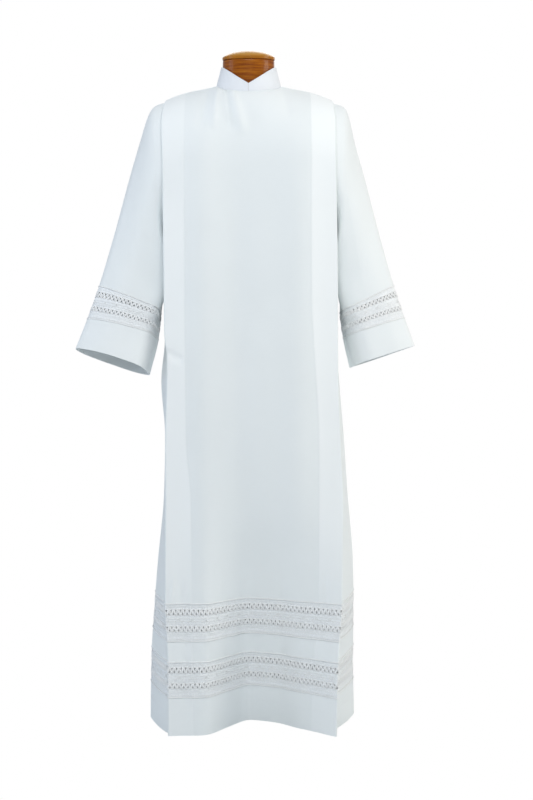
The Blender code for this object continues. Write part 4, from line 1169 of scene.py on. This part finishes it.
def build_sleeve(side):
    """A sleeve, its band of lace and its cuff."""
    name = side_name(side)
    grids = [sleeve_grid(side, start, end, rows) for start, end, rows in (
        (SLEEVE_START, LACE_RUN_TOP - SLEEVE_GAP, SLEEVE_ROWS),
        (LACE_RUN_TOP + SLEEVE_GAP, LACE_RUN_FOOT - SLEEVE_GAP, BAND_ROWS),
        (LACE_RUN_FOOT + SLEEVE_GAP, 1.0, CUFF_ROWS))]
    sleeve, lace, cuff = (Laid(grid, -side, True) for grid in grids)
    armhole = seam_ridge(sleeve, (0, SEAM), (sleeve.length, SEAM), *ARMHOLE_RIDGE)
    walls = [shell(grids[0], -side, CLOTH, True), armhole]
    make_piece("sleeve_" + name, "cloth", (WHITE_CLOTH, walls))
    make_lace("lace_sleeve_" + name, lace, SLEEVE_BAND, SLEEVE_PITCH)
    level = cuff.height * CUFF_STITCHES
    walls = [shell(grids[2], -side, CLOTH, True), inside_layer(cuff, CUFF_INSIDE, True)]
    make_piece("cuff_" + name, "cloth", (WHITE_CLOTH, walls),
               (SEWING_YARN, [stitch_row(cuff, (0.0, level), (cuff.length, level))]))


def build_collar():
    grid = collar_grid()
    band = Laid(grid, -1)
    rows = [stitch_row(band, *level_line(band, band.height * share), COLLAR_THICKNESS / 2)
            for share in COLLAR_STITCHES]
    make_piece("collar", "cloth", (COLLAR_CLOTH, [shell(grid, -1, COLLAR_THICKNESS)]),
               (SEWING_YARN, rows))


# ---- the form and its stand

def build_form():
    rows = np.arange(len(TORSO["z"]), dtype=float)
    place = np.linspace(0, rows[-1], TORSO_RINGS)
    z, half_x, half_y = (curve(dict(row=rows, **TORSO), name, place)[::-1, None] for name in TORSO)
    angle = np.linspace(0, 2 * math.pi, TORSO_SIDES, endpoint=False)
    torso = closed_rings(np.stack([half_x * np.cos(angle), half_y * np.sin(angle) + FORM_Y,
                                   z + 0 * angle], axis=-1))
    torso["uv"] = np.concatenate([pairs(angle[None, :] * TORSO_R, z), np.zeros((2, 2))])
    block = [(0.030, NECK_GROOVE_Z - SEAM)]
    block += [(NECK_BLOCK_R - 0.002 + 0.002 * math.sin(a),
               NECK_GROOVE_Z - SEAM - 0.003 * (1 - math.cos(a)))
              for a in RIGHT_ANGLE * np.linspace(0, 1, 7)]
    block += [(NECK_BLOCK_R, z) for z in
              np.linspace(NECK_GROOVE_Z - 0.006, NECK_BLOCK_FOOT + 0.001, 14)]
    block += [(NECK_BLOCK_R - 0.001, NECK_BLOCK_FOOT), (0.030, NECK_BLOCK_FOOT)]
    start = math.radians(20)
    tall = (NECK_TOP_Z - NECK_RIM_Z) / (1 - math.sin(start))
    cap = [(NECK_CAP_R * math.cos(a) / math.cos(start),
            NECK_RIM_Z + tall * (math.sin(a) - math.sin(start)))
           for a in np.linspace(math.radians(88), start, 26)]
    cap.append((NECK_CAP_R, NECK_RIM_Z - 0.0006))
    cap += [(NECK_CAP_R - inset, NECK_GROOVE_Z + up) for inset, up in
            ((0, 0.0025), (0.0003, 0.0012), (0.0012, 0.0003), (0.0025, 0))]
    cap.append((0.030, NECK_GROOVE_Z))
    top, foot = TORSO_FOOT_Z - SEAM, BASE_T + SEAM
    pole = [(POLE_R - 0.001, top), (POLE_R, top - 0.001)]
    pole += [(POLE_R, z) for z in np.linspace(top - 0.01, foot + 0.01, 12)]
    pole += [(POLE_R, foot + 0.001), (POLE_R - 0.001, foot)]
    for name, slot, finish, part in (
            ("form_torso", "form_cover", FORM_JERSEY, torso),
            ("neck_block", "wood", NECK_WOOD, turned(block, NECK_SIDES, FORM_Y)),
            ("neck_cap", "wood", NECK_WOOD, turned(cap, NECK_SIDES, FORM_Y)),
            ("pole", "steel", STEEL, turned(pole, POLE_SIDES, 0.0))):
        make_piece(name, slot, (finish, [part]), sharp_angle=math.radians(50))
    half = RUNNER_X - RUNNER_W / 2 - SEAM
    bars = [("base_crossbar", (-half, -BASE_BAR_W / 2), (half, BASE_BAR_W / 2))]
    bars += [("base_runner_" + side_name(side), (side * RUNNER_X - RUNNER_W / 2, RUNNER_FRONT),
              (side * RUNNER_X + RUNNER_W / 2, RUNNER_BACK)) for side in (-1, 1)]
    for name, low, high in bars:
        make_piece(name, "steel", (STEEL, [flat_bar(low, high)]), sharp_angle=math.radians(40))


def flat_bar(low, high, edge=0.0008, corner=0.003):
    """A flat bar lying on the floor: rounded rectangles stacked from its top to its underside,
    drawn in by the edge's radius at both."""
    angle = np.linspace(0, 2 * math.pi, 48, endpoint=False)
    low, high = np.array(low), np.array(high)
    ways = np.stack([np.cos(angle), np.sin(angle)], axis=-1)
    rings = []
    for inset, z in ((edge, BASE_T), (edge * 0.3, BASE_T - edge * 0.3), (0, BASE_T - edge),
                     (0, edge), (edge * 0.3, edge * 0.3), (edge, 0)):
        out = np.sign(ways) * ((high - low) / 2 - corner) + (corner - inset) * ways
        out = np.where(np.abs(ways) < 1e-9, 0, out) + (high + low) / 2
        rings.append(np.column_stack([out, np.full(len(out), z)]))
    return closed_rings(np.array(rings))


# ---- the room, the lights and the camera

def shown_white(tree, lit, seen, output):
    """Show the second shader to the camera and the first one to every other ray."""
    path = tree.nodes.new("ShaderNodeLightPath")
    mix = tree.nodes.new("ShaderNodeMixShader")
    for given, taken in ((path.outputs["Is Camera Ray"], mix.inputs[0]),
                         (lit.outputs[0], mix.inputs[1]), (seen.outputs[0], mix.inputs[2]),
                         (mix.outputs[0], tree.nodes[output].inputs[0])):
        tree.links.new(given, taken)


def studio():
    """A white room: a pale floor, a white background, and soft lights from all sides."""
    scene = bpy.context.scene
    world = bpy.data.worlds.new("white_room")
    scene.world = world
    world.use_nodes = True
    tree = world.node_tree
    ambient = tree.nodes["Background"]
    ambient.inputs["Color"].default_value = AMBIENT_COLOUR
    ambient.inputs["Strength"].default_value = AMBIENT
    shown = tree.nodes.new("ShaderNodeBackground")
    shown.inputs["Color"].default_value = (1, 1, 1, 1)
    shown_white(tree, ambient, shown, "World Output")

    mesh = bpy.data.meshes.new("floor")
    corners = ((-6, -6), (6, -6), (6, 6), (-6, 6))
    mesh.from_pydata([(x, y, -0.0004) for x, y in corners], [], [(0, 1, 2, 3)])
    floor = bpy.data.objects.new("floor", mesh)
    scene.collection.objects.link(floor)
    pale = bpy.data.materials.new("pale_floor")
    pale.use_nodes = True
    tree = pale.node_tree
    matt = tree.nodes.new("ShaderNodeBsdfDiffuse")
    matt.inputs["Color"].default_value = (0.75, 0.78, 0.80, 1.0)
    shown_white(tree, matt, tree.nodes.new("ShaderNodeEmission"), "Material Output")
    mesh.materials.append(pale)

    for name, place, aim, size, energy, colour in LIGHTS:
        lamp = bpy.data.lights.new(name, "AREA")
        lamp.shape = "RECTANGLE"
        lamp.size, lamp.size_y = size
        lamp.energy = energy
        lamp.color = colour
        held = bpy.data.objects.new(name, lamp)
        scene.collection.objects.link(held)
        away = np.array(aim) - np.array(place)
        held.location = place
        held.rotation_euler = (math.atan2(math.hypot(away[0], away[1]), -away[2]), 0,
                               math.atan2(-away[0], away[1]))

    lens = bpy.data.cameras.new("camera")
    lens.sensor_width, lens.lens = 36, 81
    camera = bpy.data.objects.new("camera", lens)
    camera.location = (0.041, -4.23, 1.157)
    camera.rotation_euler = (RIGHT_ANGLE - math.radians(5.27), 0, 0)
    scene.collection.objects.link(camera)
    scene.camera = camera
    scene.view_settings.view_transform = "Standard"


AMBIENT, AMBIENT_COLOUR = 0.43, (0.93, 0.97, 1.0, 1.0)
# name, place, what it points at, size, power, colour
LIGHTS = [
    ("front_top", (0.0, -2.8, 3.2), (0.0, 0.0, 1.45), (2.0, 1.2), 62.5, (0.99, 0.99, 1.01)),
    ("left_side", (-3.0, -0.3, 1.7), (-0.1, 0.0, 1.10), (1.2, 2.0), 13.5, (0.80, 0.95, 1.25)),
    ("right_side", (3.0, -0.3, 1.7), (0.1, 0.0, 1.10), (1.2, 2.0), 32.0, (1.08, 1.0, 0.90)),
    ("behind", (0.3, 2.8, 2.2), (0.0, 0.0, 1.00), (2.4, 2.0), 30.0, (1.0, 1.0, 1.0)),
]


def main():
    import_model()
    for front in (True, False):
        build_body(front)
    for side in (-1, 1):
        build_sleeve(side)
    build_collar()
    build_form()
    studio()


main()
